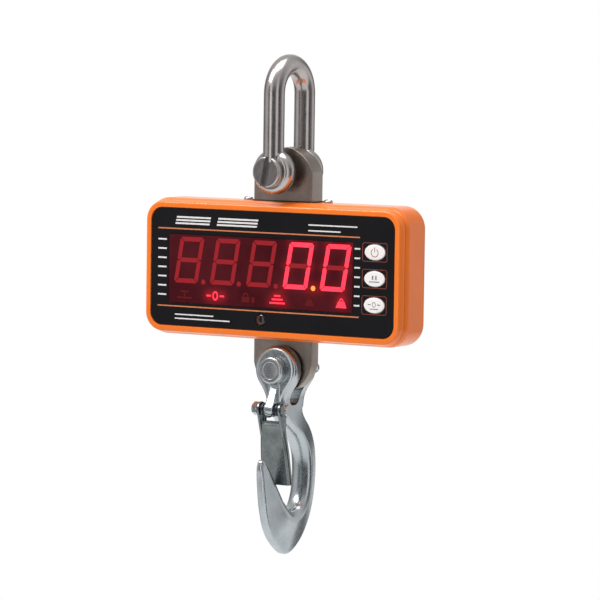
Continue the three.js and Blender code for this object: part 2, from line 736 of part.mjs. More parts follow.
function hookBody() {
  const fork = alongY(hookEarOutline(), -HOOK_EAR_OUT, HOOK_EAR_OUT, 8);
  const gap = new THREE.Shape();
  const r = 5;
  gap.moveTo(HOOK_EAR_IN, CLEVIS_Z + 30);
  gap.lineTo(-HOOK_EAR_IN, CLEVIS_Z + 30);
  gap.lineTo(-HOOK_EAR_IN, THROAT_Z + r);
  gap.absarc(-HOOK_EAR_IN + r, THROAT_Z + r, r, Math.PI, 1.5 * Math.PI);
  gap.absarc(HOOK_EAR_IN - r, THROAT_Z + r, r, -0.5 * Math.PI, 0);
  const rib = polygon([
    [-10, CLEVIS_Z - 9],
    [-HOOK_EAR_OUT - 0.6, CLEVIS_Z - 9.5],
    [-17.5, LATCH_Z + 8],
    [LATCH_Y - BOSS_R, LATCH_Z],
    [LATCH_Y, LATCH_Z],
    [LATCH_Y + 1, LATCH_Z - BOSS_R],
    [-10, LATCH_Z - BOSS_R - 1.2],
  ]);
  const pivot = [0, LATCH_Y, LATCH_Z];
  return cut(
    union(
      loft(HOOK_STATIONS.map(hookRing)),
      fork,
      alongX(rib, -BOSS_HALF_W + 0.3, BOSS_HALF_W - 0.3),
      rod(BOSS_R, -BOSS_HALF_W, BOSS_HALF_W, "x", pivot, 20),
    ),
    alongX(gap, -BIG, BIG, 3),
    rod(BOSS_R, BOSS_HALF_W, BIG, "x", pivot, 20),
    rod(BOSS_R, -BIG, -BOSS_HALF_W, "x", pivot, 20),
    rod(CLEVIS_R + GAP, -BIG, BIG, "y", [0, 0, CLEVIS_Z], 24),
    rod(BOLT_R + GAP, -BIG, BIG, "x", pivot, 14),
  );
}

function clevisPin() {
  const under = -HOOK_EAR_OUT - GAP;
  const profile = [
    [0, under - 5.5],
    [CLEVIS_HEAD_R - 1.2, under - 5.5],
    [CLEVIS_HEAD_R, under - 4.3],
    [CLEVIS_HEAD_R, under],
    [CLEVIS_R, under],
    [CLEVIS_R, CLEVIS_END - 1],
    [CLEVIS_R - 1, CLEVIS_END],
    [0, CLEVIS_END],
  ];
  const pin = turned(profile, "y", [0, 0, CLEVIS_Z]);
  return cut(pin, rod(1.6, -BIG, BIG, "x", [0, SPLIT_PIN_Y, CLEVIS_Z], 10));
}

// A split pin: a stem through the clevis pin and a ring-shaped eye at its +X end.
function splitPin() {
  const stem = rod(1.2, -10, 9, "x", [0, SPLIT_PIN_Y, CLEVIS_Z], 8);
  const eye = new THREE.TorusGeometry(2.6, 1.1, 8, 14);
  const turn = basis([1, 0, 0], [0, 0, 1], [0, -1, 0]).setPosition(11.2, SPLIT_PIN_Y, CLEVIS_Z);
  return union(stem, solid(eye, turn));
}

// The latch in its own frame: pivot at the origin, +Z up the plate, front towards -Y.
function latchPlate() {
  const front = -2.57;
  const levels = [
    { z: -9.7, half: 8.5, depth: 3.8 },
    { z: -30, half: 10.2, depth: 3.4 },
    { z: -49, half: 10.9, depth: 2.8 },
  ];
  const outer = levels.map(({ z, half, depth }) => channelRing(half, front, front + depth, z));
  const inner = levels.map(({ z, half, depth }, i) =>
    channelRing(half - LATCH_T, front + LATCH_T, front + depth + 5, z + (i ? -2 : 2)),
  );
  const cheek = polygon([
    [-2.5, -12],
    [-4.6, -2],
    [-4.2, 2.4],
    [-2, 4.6],
    [2, 4.6],
    [4.2, 2.4],
    [4.6, -2],
    [2.4, -12],
  ]);
  const cheeks = [-1, 1].map((s) => {
    const [x0, x1] = s > 0 ? [8.5 - LATCH_T, 8.5] : [-8.5, LATCH_T - 8.5];
    return alongX(cheek, x0, x1);
  });
  return cut(
    union(cut(loft(outer.reverse()), loft(inner.reverse())), ...cheeks),
    rod(BOLT_R + GAP, -BIG, BIG, "x", [0, 0, 0], 14),
  );
}

function channelRing(half, y0, y1, z) {
  return [
    new THREE.Vector3(-half, y0, z),
    new THREE.Vector3(half, y0, z),
    new THREE.Vector3(half, y1, z),
    new THREE.Vector3(-half, y1, z),
  ];
}

function hexagon(acrossFlats) {
  const r = acrossFlats / Math.sqrt(3);
  const at = (i) => [r * Math.cos((i * Math.PI) / 3), r * Math.sin((i * Math.PI) / 3)];
  return polygon([0, 1, 2, 3, 4, 5].map(at));
}

function latchBolt() {
  return union(rod(BOLT_R, -13.6, 9.5, "x", [0, 0, 0], 12), alongX(hexagon(7.6), 9, 12.8));
}

function latchNut() {
  return cut(alongX(hexagon(7.6), -12.9, -9), rod(BOLT_R + 0.25, -BIG, BIG, "x", [0, 0, 0], 12));
}

// The wire of the double torsion spring: a leg behind the plate, a coil, a loop over the boss's
// front, the second coil and the second leg.
class SpringLine extends THREE.Curve {
  getPoint(t) {
    const side = t < 0.5 ? -1 : 1;
    const u = Math.abs(2 * t - 1);
    const coilR = 3.5;
    const turns = 2.5;
    if (u > 0.8) {
      const s = (u - 0.8) / 0.2;
      return new THREE.Vector3(side * 6.1, coilR - 2.7 * s, -13 * s);
    }
    if (u > 0.22) {
      const s = (0.8 - u) / 0.58;
      const angle = -s * turns * 2 * Math.PI;
      return new THREE.Vector3(
        side * (6.1 - 1.9 * s),
        coilR * Math.cos(angle),
        coilR * Math.sin(angle),
      );
    }
    const s = u / 0.22;
    const x = side * 4.2 * Math.sin((s * Math.PI) / 2);
    const lift = Math.cos((s * Math.PI) / 2);
    const angle = -Math.PI * (1 - 0.2 * lift);
    const radius = coilR + 2.6 * Math.min(1, 3 * lift);
    return new THREE.Vector3(x, radius * Math.cos(angle), radius * Math.sin(angle));
  }
}

function latchSpring() {
  const wire = new THREE.Shape().absarc(0, 0, 0.55, 0, 2 * Math.PI);
  return solid(
    new THREE.ExtrudeGeometry(wire, {
      extrudePath: new SpringLine(),
      steps: 90,
      curveSegments: 3,
    }),
  );
}

// ---------------------------------------------------------------- assembly
place(crane, "shackle_bow", shackleBow(), STAINLESS);
place(crane, "shackle_pin", shacklePin(), STAINLESS);

place(crane, "load_cell", loadCell(), NICKEL);
place(crane, "strain_gauge_front", gauge(-1), BATTERY);
place(crane, "strain_gauge_rear", gauge(1), BATTERY);
place(crane, "top_yoke", yoke(1), SCREW_ZINC);
place(crane, "bottom_yoke", yoke(-1), SCREW_ZINC);

place(crane, "front_cover", frontCover(), ORANGE);
place(crane, "rear_shell", rearShell(), ORANGE);
place(crane, "top_seal", barSeal(1), RUBBER);
place(crane, "bottom_seal", barSeal(-1), RUBBER);
[-1, 1].forEach((x, i) => {
  place(crane, `top_screw_${i + 1}`, yokeScrew(x, 1), SCREW_ZINC);
  place(crane, `bottom_screw_${i + 1}`, yokeScrew(x, -1), SCREW_ZINC);
});
corners((sx, sz) => [sx, sz]).forEach(([sx, sz], i) => {
  place(crane, `case_screw_${i + 1}`, caseScrew(sx, sz), SCREW_ZINC);
  place(crane, `board_screw_${i + 1}`, boardScrew(sx, sz), SCREW_ZINC);
});
place(crane, "battery_door", batteryDoor(), ORANGE);
[-1, 1].forEach((s, i) => place(crane, `door_screw_${i + 1}`, doorScrew(s), SCREW_ZINC));
place(crane, "battery", battery(), BATTERY);
place(crane, "charging_socket", chargingSocket(), RUBBER);
place(crane, "socket_cap", socketCap(), RUBBER);

place(crane, "panel_overlay", overlay(), BLACK);
place(crane, "display_window", displayWindow(), RED_WINDOW);
for (let i = 0; i < 5; i++) place(crane, `led_digit_${i + 1}`, ledDigit(i), LED_BODY);
place(crane, "indicator_strip", indicatorStrip(), LED_BODY);
place(crane, "main_board", mainBoard(), BOARD);
place(crane, "sensor_lens", sensorLens(), LENS);
place(crane, "infrared_receiver", infraredReceiver(), LED_BODY);
KEY_NAMES.forEach((name, i) => {
  place(crane, `${name}_key`, keyCap(KEY_Z[i]), WHITE_KEY);
  place(crane, `${name}_switch`, tactSwitch(KEY_Z[i]), LED_BODY);
});

place(crane, "hook_body", hookBody(), ZINC);
place(crane, "clevis_pin", clevisPin(), ZINC);
place(crane, "split_pin", splitPin(), ZINC);

const latchPivot = new THREE.Group();
latchPivot.position.set(0, LATCH_Y, LATCH_Z);
crane.add(latchPivot);
place(latchPivot, "latch_bolt", latchBolt(), ZINC);
place(latchPivot, "latch_nut", latchNut(), ZINC);

const swing = new THREE.Group();
swing.rotation.x = LATCH_TILT;
latchPivot.add(swing);
place(swing, "latch_plate", latchPlate(), ZINC);
place(swing, "latch_spring", latchSpring(), BLUED);

export default crane;
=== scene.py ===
"""Crane scale: fine surfaces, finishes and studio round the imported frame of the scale."""

import json
import math

import bmesh
import bpy
import numpy as np
from mathutils import Matrix, Vector
from mathutils.geometry import tessellate_polygon


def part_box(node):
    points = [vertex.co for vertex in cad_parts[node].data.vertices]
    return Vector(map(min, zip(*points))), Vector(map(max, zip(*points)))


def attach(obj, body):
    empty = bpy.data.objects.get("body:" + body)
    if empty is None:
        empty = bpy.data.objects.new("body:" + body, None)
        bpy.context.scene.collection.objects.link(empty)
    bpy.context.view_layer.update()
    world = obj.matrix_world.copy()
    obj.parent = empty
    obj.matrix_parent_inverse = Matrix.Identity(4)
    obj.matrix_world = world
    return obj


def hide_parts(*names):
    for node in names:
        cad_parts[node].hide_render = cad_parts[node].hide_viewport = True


bl_info = {
    "name": "Crane scale",
    "version": (1, 0, 0),
    "blender": (4, 5, 0),
    "location": "3D View > Sidebar > Crane scale",
    "description": "Builds a hanging crane scale with a shackle, an LED panel and a clevis hook",
    "category": "Add Mesh",
}

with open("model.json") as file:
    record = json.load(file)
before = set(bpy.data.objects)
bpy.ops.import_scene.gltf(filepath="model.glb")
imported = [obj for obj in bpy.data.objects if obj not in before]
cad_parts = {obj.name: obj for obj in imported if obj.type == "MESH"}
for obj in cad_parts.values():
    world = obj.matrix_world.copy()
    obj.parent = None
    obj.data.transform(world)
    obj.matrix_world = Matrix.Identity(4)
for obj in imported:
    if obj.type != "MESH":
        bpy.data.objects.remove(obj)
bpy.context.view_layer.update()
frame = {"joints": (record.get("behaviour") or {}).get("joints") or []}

MM = 0.001
TAU = 2 * math.pi


def box_mm(node):
    """A CAD node's lowest and highest corners, in millimetres."""
    low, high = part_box(node)
    return np.array(low) / MM, np.array(high) / MM


def joint_mm(name):
    """A hinge's point, in millimetres."""
    joint = next(j for j in frame["joints"] if j["name"] == name)
    return np.array(joint["pos_m"]) / MM


# ---------------------------------------------------------------- places from the frame
BOW_HIGH = box_mm("shackle_bow")[1]
PIN_LOW, PIN_HIGH = box_mm("shackle_pin")
BAR_LOW, BAR_HIGH = box_mm("load_cell")
COVER_LOW = box_mm("front_cover")[0]
SHELL_LOW, SHELL_HIGH = box_mm("rear_shell")
SHEET_LOW, SHEET_HIGH = box_mm("panel_overlay")
GLASS_LOW, GLASS_HIGH = box_mm("display_window")
DOOR_LOW, DOOR_HIGH = box_mm("battery_door")
LENS_LOW, LENS_HIGH = box_mm("sensor_lens")
PIN_Z = joint_mm("shackle_swing")[2]
CLEVIS_Z = joint_mm("hook_swing")[2]
LATCH_Y, LATCH_Z = joint_mm("latch_swing")[1:]

CASE_Z = (SHELL_LOW[2] + SHELL_HIGH[2]) / 2
SHELL_GROW = 2.2  # the rear shell stands this far outside the rim outline
RIM_HALF_W = SHELL_HIGH[0] - SHELL_GROW
RIM_HALF_H = (SHELL_HIGH[2] - SHELL_LOW[2]) / 2 - SHELL_GROW
RIM_R = 12
FRONT_Y = COVER_LOW[1]
SPLIT_Y = SHELL_LOW[1]
BACK_Y = SHELL_HIGH[1]
SHEET_Y = SHEET_LOW[1]
PRINT_T = 0.05  # printed ink stands this far off its sheet
THROUGH = 60  # a cutter this long each way passes right through a piece across it
FAR = 400  # and this long, through the casing's whole height
EAR_R = BOW_HIGH[0]
EAR_IN, EAR_OUT = 13.0, 22.8  # the ears' inner and outer faces
PIN_R, PIN_HOLE_R, PIN_HEAD_T = 6.0, 6.4, 5.0
SLOT_HALF_W, SLOT_DEPTH, SLOT_TURN = 2.3, 3.6, 0.21
CLEVIS_R, CLEVIS_HOLE_R, CLEVIS_HEAD_T = 5.5, 5.9, 5.5
WIRE_R = BOW_HIGH[2] / 2  # the bow's top is one wire above its inside
LEG_Y = BOW_HIGH[1] - WIRE_R
DIGIT_X0, DIGIT_PITCH, DIGIT_Z = -61.0, 27.15, -119.0
MARK_X = (-64.2, -41.0, -18.2, 5.2, 28.8, 52.0)
MARK_Z = -141.0
KEYS = ("power", "hold", "zero")
KEY_Z = [(box_mm(f"{key}_key")[0][2] + box_mm(f"{key}_key")[1][2]) / 2 for key in KEYS]
KEY_X = 75.7
LENS_X, LENS_Z = (LENS_LOW[0] + LENS_HIGH[0]) / 2, (LENS_LOW[2] + LENS_HIGH[2]) / 2
DOOR_X = (DOOR_LOW[0] + DOOR_HIGH[0]) / 2
SOCKET_X, SOCKET_Y = 62, -3
WINDOW = (-8.25, -124.7, 68.55, 22.3)  # centre and half size
POINT_X, POINT_Z, POINT_R = (-50.15, -23.45, 4.05, 31.45), -132.6, 1.6  # the digits' points
GLOW_SPREAD = 12  # square mm
KEY_HALF = (7.35, 4.85)  # half sizes of a key, of its hole in the sheet and in the cover
KEY_SHEET_HALF = (7.8, 5.3)
KEY_COVER_HALF = (8.7, 6.2)
KEY_CROWN, KEY_FLANGE, STEM_R, STEM_END_Y, KEY_INK_T = 0.12, 1.1, 2, -13.4, 0.04
LENS_R = 3.6
SCREW_NODES = {
    "top_screw_1": "z+", "top_screw_2": "z+", "bottom_screw_1": "z-", "bottom_screw_2": "z-",
    "case_screw_1": "y+", "case_screw_2": "y+", "case_screw_3": "y+", "case_screw_4": "y+",
    "door_screw_1": "y+", "door_screw_2": "y+",
}


# ---------------------------------------------------------------- mesh making
def arc(cx, cy, r, a0, a1, steps):
    """Points on a circle from angle a0 to a1, as an array of [u, v]."""
    a = np.linspace(a0, a1, steps)
    return np.stack([cx + r * np.cos(a), cy + r * np.sin(a)], 1)


def rounded_rect(cx, cy, half_w, half_h, r, steps=12):
    """A rectangle's outline with quarter-circle corners, anticlockwise."""
    q = math.pi / 2
    signs = ((1, 1), (-1, 1), (-1, -1), (1, -1))
    parts = [
        arc(cx + sx * (half_w - r), cy + sy * (half_h - r), r, i * q, (i + 1) * q, steps)
        for i, (sx, sy) in enumerate(signs)
    ]
    return np.concatenate(parts)


def ellipse(cx, cy, half_w, half_h, steps=64):
    """An ellipse's outline, anticlockwise: the half sizes times an angle's cosine and sine."""
    a = np.linspace(0, TAU, steps, endpoint=False)
    return np.stack([cx + half_w * np.cos(a), cy + half_h * np.sin(a)], 1)


def smooth_step(x):
    """0 below 0, 1 above 1, and a cubic between."""
    x = np.clip(x, 0, 1)
    return x * x * (3 - 2 * x)


def through(points, per):
    """A smooth curve through rows of numbers: cubic pieces whose slope at each row is half the
    step between its neighbours. per samples lie on each piece."""
    p = np.asarray(points, float)
    m = np.gradient(p, axis=0)
    t = np.linspace(0, 1, per, endpoint=False)[None, :, None]
    a, b, ma, mb = p[:-1, None], p[1:, None], m[:-1, None], m[1:, None]
    h = (2 * t**3 - 3 * t**2 + 1) * a + (t**3 - 2 * t**2 + t) * ma
    h = h + (3 * t**2 - 2 * t**3) * b + (t**3 - t**2) * mb
    return np.concatenate([h.reshape(-1, p.shape[1]), p[-1:]])


def grid_faces(rows, cols, wrap_rows=False, wrap_cols=True):
    """Quads between neighbouring rows and columns of a grid of points."""
    r = np.arange(rows if wrap_rows else rows - 1)[:, None]
    c = np.arange(cols if wrap_cols else cols - 1)[None, :]
    r2, c2 = (r + 1) % rows, (c + 1) % cols
    quads = np.stack(np.broadcast_arrays(r * cols + c, r * cols + c2, r2 * cols + c2, r2 * cols + c), -1)
    return quads.reshape(-1, 4).tolist()


def skin(rings, loop=False):
    """Points and faces of a tube through rings of equal length, capped or joined end to end."""
    rows, cols = rings.shape[:2]
    faces = grid_faces(rows, cols, wrap_rows=loop)
    if not loop:
        faces.append(list(range(cols))[::-1])
        faces.append(list(range((rows - 1) * cols, rows * cols)))
    return rings.reshape(-1, 3), faces


def merged(*parts):
    """Several lots of points and faces as one."""
    points, faces, start = [], [], 0
    for p, f in parts:
        points.append(np.asarray(p, float))
        faces += [[i + start for i in face] for face in f]
        start += len(p)
    return np.concatenate(points), faces


def mesh_of(name, points, faces):
    """A closed mesh in metres from points in millimetres, doubles merged and faces outward."""
    mesh = bpy.data.meshes.new(name)
    mesh.from_pydata((np.asarray(points) * MM).tolist(), [], faces)
    bm = bmesh.new()
    bm.from_mesh(mesh)
    bmesh.ops.remove_doubles(bm, verts=bm.verts, dist=2e-6)
    bmesh.ops.dissolve_degenerate(bm, edges=bm.edges, dist=1e-7)
    bmesh.ops.recalc_face_normals(bm, faces=bm.faces)
    bm.to_mesh(mesh)
    bm.free()
    return mesh


def object_of(name, made):
    """A new object in the scene from a name and points and faces in millimetres."""
    obj = bpy.data.objects.new(name, mesh_of(name, *made))
    bpy.context.scene.collection.objects.link(obj)
    return obj


def applied(obj):
    """Bakes an object's modifiers into its mesh."""
    graph = bpy.context.evaluated_depsgraph_get()
    mesh = bpy.data.meshes.new_from_object(obj.evaluated_get(graph))
    old = obj.data
    obj.modifiers.clear()
    obj.data = mesh
    bpy.data.meshes.remove(old)
    return obj


def bored(obj, *cutters):
    """Cuts closed shapes out of an object."""
    tool = object_of("cutter", merged(*cutters))
    mod = obj.modifiers.new("bore", "BOOLEAN")
    mod.operation, mod.solver, mod.object = "DIFFERENCE", "EXACT", tool
    mod.use_self = len(cutters) > 1
    applied(obj)
    bpy.data.objects.remove(tool)
    return obj


def welded(obj, *parts):
    """Joins closed shapes onto an object."""
    tool = object_of("weld", merged(*parts))
    mod = obj.modifiers.new("weld", "BOOLEAN")
    mod.operation, mod.solver, mod.object = "UNION", "EXACT", tool
    mod.use_self = True
    applied(obj)
    bpy.data.objects.remove(tool)
    return obj


def forged(obj, voxel, rounds):
    """Melts an object's overlapping shapes into one skin and softens it, as forging does."""
    mod = obj.modifiers.new("melt", "REMESH")
    mod.mode, mod.voxel_size = "VOXEL", voxel * MM
    mod = obj.modifiers.new("soften", "SMOOTH")
    mod.factor, mod.iterations = 0.5, rounds
    return applied(obj)


def kept_inside(obj, node):
    """Holds every vertex inside a node's box, where a smooth curve swings a little past it."""
    low, high = box_mm(node)
    co = np.empty(len(obj.data.vertices) * 3)
    obj.data.vertices.foreach_get("co", co)
    co = np.clip(co.reshape(-1, 3), low * MM, high * MM)
    obj.data.vertices.foreach_set("co", co.ravel())


def finished(obj, material, body, slot, *nodes, crease=35):
    """Shades, paints and mounts a piece on its body in place of its CAD nodes."""
    obj.data.materials.clear()
    obj.data.materials.append(bpy.data.materials[material])
    obj.data.polygons.foreach_set("use_smooth", [True] * len(obj.data.polygons))
    obj.data.set_sharp_from_angle(angle=math.radians(crease))
    mod = obj.modifiers.new("even", "WEIGHTED_NORMAL")
    mod.mode, mod.weight, mod.keep_sharp = "FACE_AREA", 50, True
    applied(obj)
    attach(obj, body)
    if nodes:
        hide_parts(*nodes)
    return obj


AXES = {
    "x": lambda u, v, h: (h, u, v),
    "y": lambda u, v, h: (u, h, v),
    "z": lambda u, v, h: (u, v, h),
}


def stacked(u, v, h, axis, at=(0, 0, 0)):
    """Points from two numbers across an axis and one along it."""
    u, v, h = np.broadcast_arrays(u, v, h)
    return np.stack(AXES[axis](u, v, h), -1) + np.asarray(at, float)


def lathe(profile, axis, at=(0, 0, 0), sides=64):
    """A profile of [radius, height] turned round an axis: radius times cosine and sine."""
    r, h = np.asarray(profile, float).T[:, :, None]
    a = np.linspace(0, TAU, sides, endpoint=False)[None, :]
    return skin(stacked(r * np.cos(a), r * np.sin(a), h, axis, at))


def cylinder(r, h0, h1, axis, at=(0, 0, 0), sides=48):
    """A straight profile of radius r between two heights, turned round an axis."""
    return lathe([[0, h0], [r, h0], [r, h1], [0, h1]], axis, at, sides)


def grown(outline, by):
    """An anticlockwise outline moved outwards by a distance, along the mean normal at each point."""
    edge = np.roll(outline, -1, 0) - outline
    edge /= np.maximum(np.linalg.norm(edge, axis=1, keepdims=True), 1e-9)
    before = np.roll(edge, 1, 0)
    n1 = np.stack([edge[:, 1], -edge[:, 0]], 1)
    n0 = np.stack([before[:, 1], -before[:, 0]], 1)
    mean = n0 + n1
    mean /= np.maximum(np.linalg.norm(mean, axis=1, keepdims=True), 1e-9)
    reach = 1 / np.maximum((mean * n1).sum(1, keepdims=True), 0.5)
    return outline + mean * reach * by


def rolled(bevel, h0, h1, steps=3):
    """[shrink, height] up one edge and down the other. At angle t a rolled edge lies
    bevel * (1 - sin t) inside the outline and bevel * (1 - cos t) inside the end."""
    if not bevel:
        return [(0, h0), (0, h1)]
    t = np.linspace(0, math.pi / 2, steps + 1)
    low = list(zip(bevel * (1 - np.sin(t)), h0 + bevel * (1 - np.cos(t))))
    return low + [(s, h0 + h1 - h) for s, h in reversed(low)]


def plate(outline, h0, h1, axis, holes=(), bevel=0.0, steps=3, at=(0, 0, 0)):
    """A flat outline carried along an axis between two heights, its edges rolled over by quarter
    circles, with holes whose edges roll the other way."""
    levels = rolled(bevel, h0, h1, steps)
    lots, ends = [], ([], [])
    loops = [(np.asarray(outline, float), -1)] + [(np.asarray(h, float), 1) for h in holes]
    for loop, sign in loops:
        rings = np.stack([stacked(*grown(loop, sign * s).T, h, axis, at) for s, h in levels])
        lots.append((rings.reshape(-1, 3), grid_faces(len(levels), len(loop))))
        ends[0].append(rings[0])
        ends[1].append(rings[-1])
    for end in ends:
        flat = [[Vector(p) for p in ring] for ring in end]
        lots.append((np.concatenate(end), [list(t) for t in tessellate_polygon(flat)]))
    return merged(*lots)


def sweep(path, radius, sides=12, loop=False):
    """A round wire along a path: circles square to the path's direction, turned as little as
    possible from one to the next."""
    path = np.asarray(path, float)
    ahead = np.roll(path, -1, 0) - path if loop else np.gradient(path, axis=0)
    ahead /= np.linalg.norm(ahead, axis=1, keepdims=True)
    side = np.zeros_like(path)
    first = np.cross(ahead[0], [0.3, 0.5, 0.81])
    side[0] = first / np.linalg.norm(first)
    for i in range(1, len(path)):
        s = side[i - 1] - ahead[i] * (side[i - 1] @ ahead[i])
        side[i] = s / np.linalg.norm(s)
    up = np.cross(ahead, side)
    a = np.linspace(0, TAU, sides, endpoint=False)
    r = np.broadcast_to(np.asarray(radius, float), (len(path),))[:, None, None]
    ring = np.cos(a)[None, :, None] * side[:, None] + np.sin(a)[None, :, None] * up[:, None]
    return skin(path[:, None] + r * ring, loop=loop)


# ---------------------------------------------------------------- finishes
def linear(colour):
    """An sRGB hex colour as linear red, green and blue with full alpha; a linear one as it is."""
    if not isinstance(colour, str):
        return tuple(colour)
    v = np.array([int(colour[i : i + 2], 16) for i in (0, 2, 4)]) / 255
    v = np.where(v <= 0.04045, v / 12.92, ((v + 0.055) / 1.055) ** 2.4)
    return (*v.tolist(), 1.0)


def shades(colour, spread=0.09):
    """Three shades of a linear colour: a little darker, itself, a little lighter."""
    rgb = np.array(colour[:3])
    return [(*np.clip(rgb * k, 0, 1).tolist(), 1.0) for k in (1 - spread, 1.0, 1 + spread)]


def add(tree, kind, inputs=None, **settings):
    """Adds a node, sets its properties, and fills or links its inputs by name or number."""
    node = tree.nodes.new(kind)
    for key, value in settings.items():
        setattr(node, key, value)
    for key, value in (inputs or {}).items():
        if isinstance(value, bpy.types.NodeSocket):
            tree.links.new(value, node.inputs[key])
        else:
            node.inputs[key].default_value = value
    return node


def node_of(tree, kind):
    """The first node of a kind in a material."""
    return next(n for n in tree.nodes if n.type == kind)


def surface(name, colours, rough, grain, metallic=0.0, bump=0.02, patch=14.0, stretch=(1, 1, 1),
            shine=None, edge_wear_and_highlight=None):
    """A finish: patches of two or three hex colours patch mm across, roughness that wanders between
    two values, and a grain of a real size in mm pressed in as bump. stretch draws the grain out
    along an axis, as brushing or milling does. The last argument is the hex colour that lightens
    sharp convex edges: rubbed wear on some finishes, a painted edge highlight on others."""
    mat = bpy.data.materials.new(name)
    mat.use_nodes = True
    tree = mat.node_tree
    tree.nodes.clear()
    out = add(tree, "ShaderNodeOutputMaterial")
    place = add(tree, "ShaderNodeTexCoord").outputs["Object"]
    drawn = add(tree, "ShaderNodeMapping", {"Vector": place, "Scale": stretch}).outputs[0]
    cloud = add(tree, "ShaderNodeTexNoise", {
        "Vector": place, "Scale": 1 / (patch * MM), "Detail": 4.0, "Roughness": 0.6})
    fine = add(tree, "ShaderNodeTexNoise", {
        "Vector": drawn, "Scale": 1 / (grain * MM), "Detail": 3.0, "Roughness": 0.55})
    ramp = add(tree, "ShaderNodeValToRGB", {"Fac": cloud.outputs[0]})
    stops = ramp.color_ramp.elements
    stops[0].position, stops[1].position = 0.34, 0.66
    stops[0].color, stops[1].color = linear(colours[0]), linear(colours[-1])
    if len(colours) > 2:
        stops.new(0.5).color = linear(colours[1])
    colour = ramp.outputs[0]
    # Sharp convex edges, found by pointiness, are lightened towards the edge colour: rubbed wear on some
    # finishes, a painted highlight on others.
    if edge_wear_and_highlight:
        edge = add(tree, "ShaderNodeNewGeometry").outputs["Pointiness"]
        edge_wear_and_highlight_amount = add(tree, "ShaderNodeMapRange", {
            "Value": edge, "From Min": 0.53, "From Max": 0.6, "To Min": 0.0, "To Max": 0.6})
        colour = add(tree, "ShaderNodeMix", {
            0: edge_wear_and_highlight_amount.outputs[0], 6: colour, 7: linear(edge_wear_and_highlight)}, data_type="RGBA").outputs[2]
    haze = add(tree, "ShaderNodeMapRange", {
        "Value": fine.outputs[0], "From Min": 0.3, "From Max": 0.7,
        "To Min": rough[0], "To Max": rough[1]})
    press = add(tree, "ShaderNodeBump", {
        "Height": fine.outputs[0], "Strength": 0.6, "Distance": bump * MM})
    shader = add(tree, "ShaderNodeBsdfPrincipled", {
        "Base Color": colour, "Roughness": haze.outputs[0], "Normal": press.outputs[0],
        "Metallic": metallic, **(shine or {})})
    tree.links.new(shader.outputs[0], out.inputs[0])
    return mat


def lamp(name, colour, strength, patch=3.0):
    """A glowing ink or LED bar: its light is a little uneven, patch mm across."""
    mat = surface(name, (colour, colour), (0.3, 0.4), 0.4, bump=0.004, patch=patch,
                  shine={"Specular IOR Level": 0.1})
    tree = mat.node_tree
    shader = node_of(tree, "BSDF_PRINCIPLED")
    place = node_of(tree, "TEX_COORD").outputs["Object"]
    cloud = add(tree, "ShaderNodeTexNoise", {"Vector": place, "Scale": 1 / (patch * MM)})
    level = add(tree, "ShaderNodeMapRange", {
        "Value": cloud.outputs[0], "To Min": strength * 0.85, "To Max": strength * 1.15})
    shader.inputs["Emission Color"].default_value = linear(colour)
    tree.links.new(level.outputs[0], shader.inputs["Emission Strength"])
    return mat


def red_acrylic(name):
    """The cast red acrylic of the window: nearly black red, glossy, with the glow of the lit bars
    spreading round them, read from the vertex attribute glow."""
    mat = surface(name, ("420f16", "4a131a", "50171e"), (0.14, 0.22), 2.5, bump=0.002, patch=30,
                  shine={"Specular IOR Level": 0.15})
    tree = mat.node_tree
    shader = node_of(tree, "BSDF_PRINCIPLED")
    glow = add(tree, "ShaderNodeAttribute", attribute_name="glow", attribute_type="GEOMETRY")
    level = add(tree, "ShaderNodeMapRange", {
        "Value": glow.outputs["Fac"], "To Min": 0.0, "To Max": 0.2})
    shader.inputs["Emission Color"].default_value = linear("ff2a33")
    tree.links.new(level.outputs[0], shader.inputs["Emission Strength"])
    return mat


def green_board(name):
    """Green solder mask on glass fibre: darker copper tracks under it, a few tenths of a mm wide,
    drawn as a fine brick grid."""
    mat = surface(name, ("1f5a35", "24653c"), (0.3, 0.45), 0.5, bump=0.01)
    tree = mat.node_tree
    shader = node_of(tree, "BSDF_PRINCIPLED")
    place = node_of(tree, "TEX_COORD").outputs["Object"]
    flat = add(tree, "ShaderNodeMapping", {
        "Vector": place, "Rotation": (math.pi / 2, 0, 0)}).outputs[0]
    tracks = add(tree, "ShaderNodeTexBrick", {
        "Vector": flat, "Color1": linear("1f5a35"), "Color2": linear("276b41"),
        "Mortar": linear("3c8a54"), "Scale": 1 / (9 * MM), "Mortar Size": 0.03})
    tree.links.new(tracks.outputs[0], shader.inputs["Base Color"])
    return mat


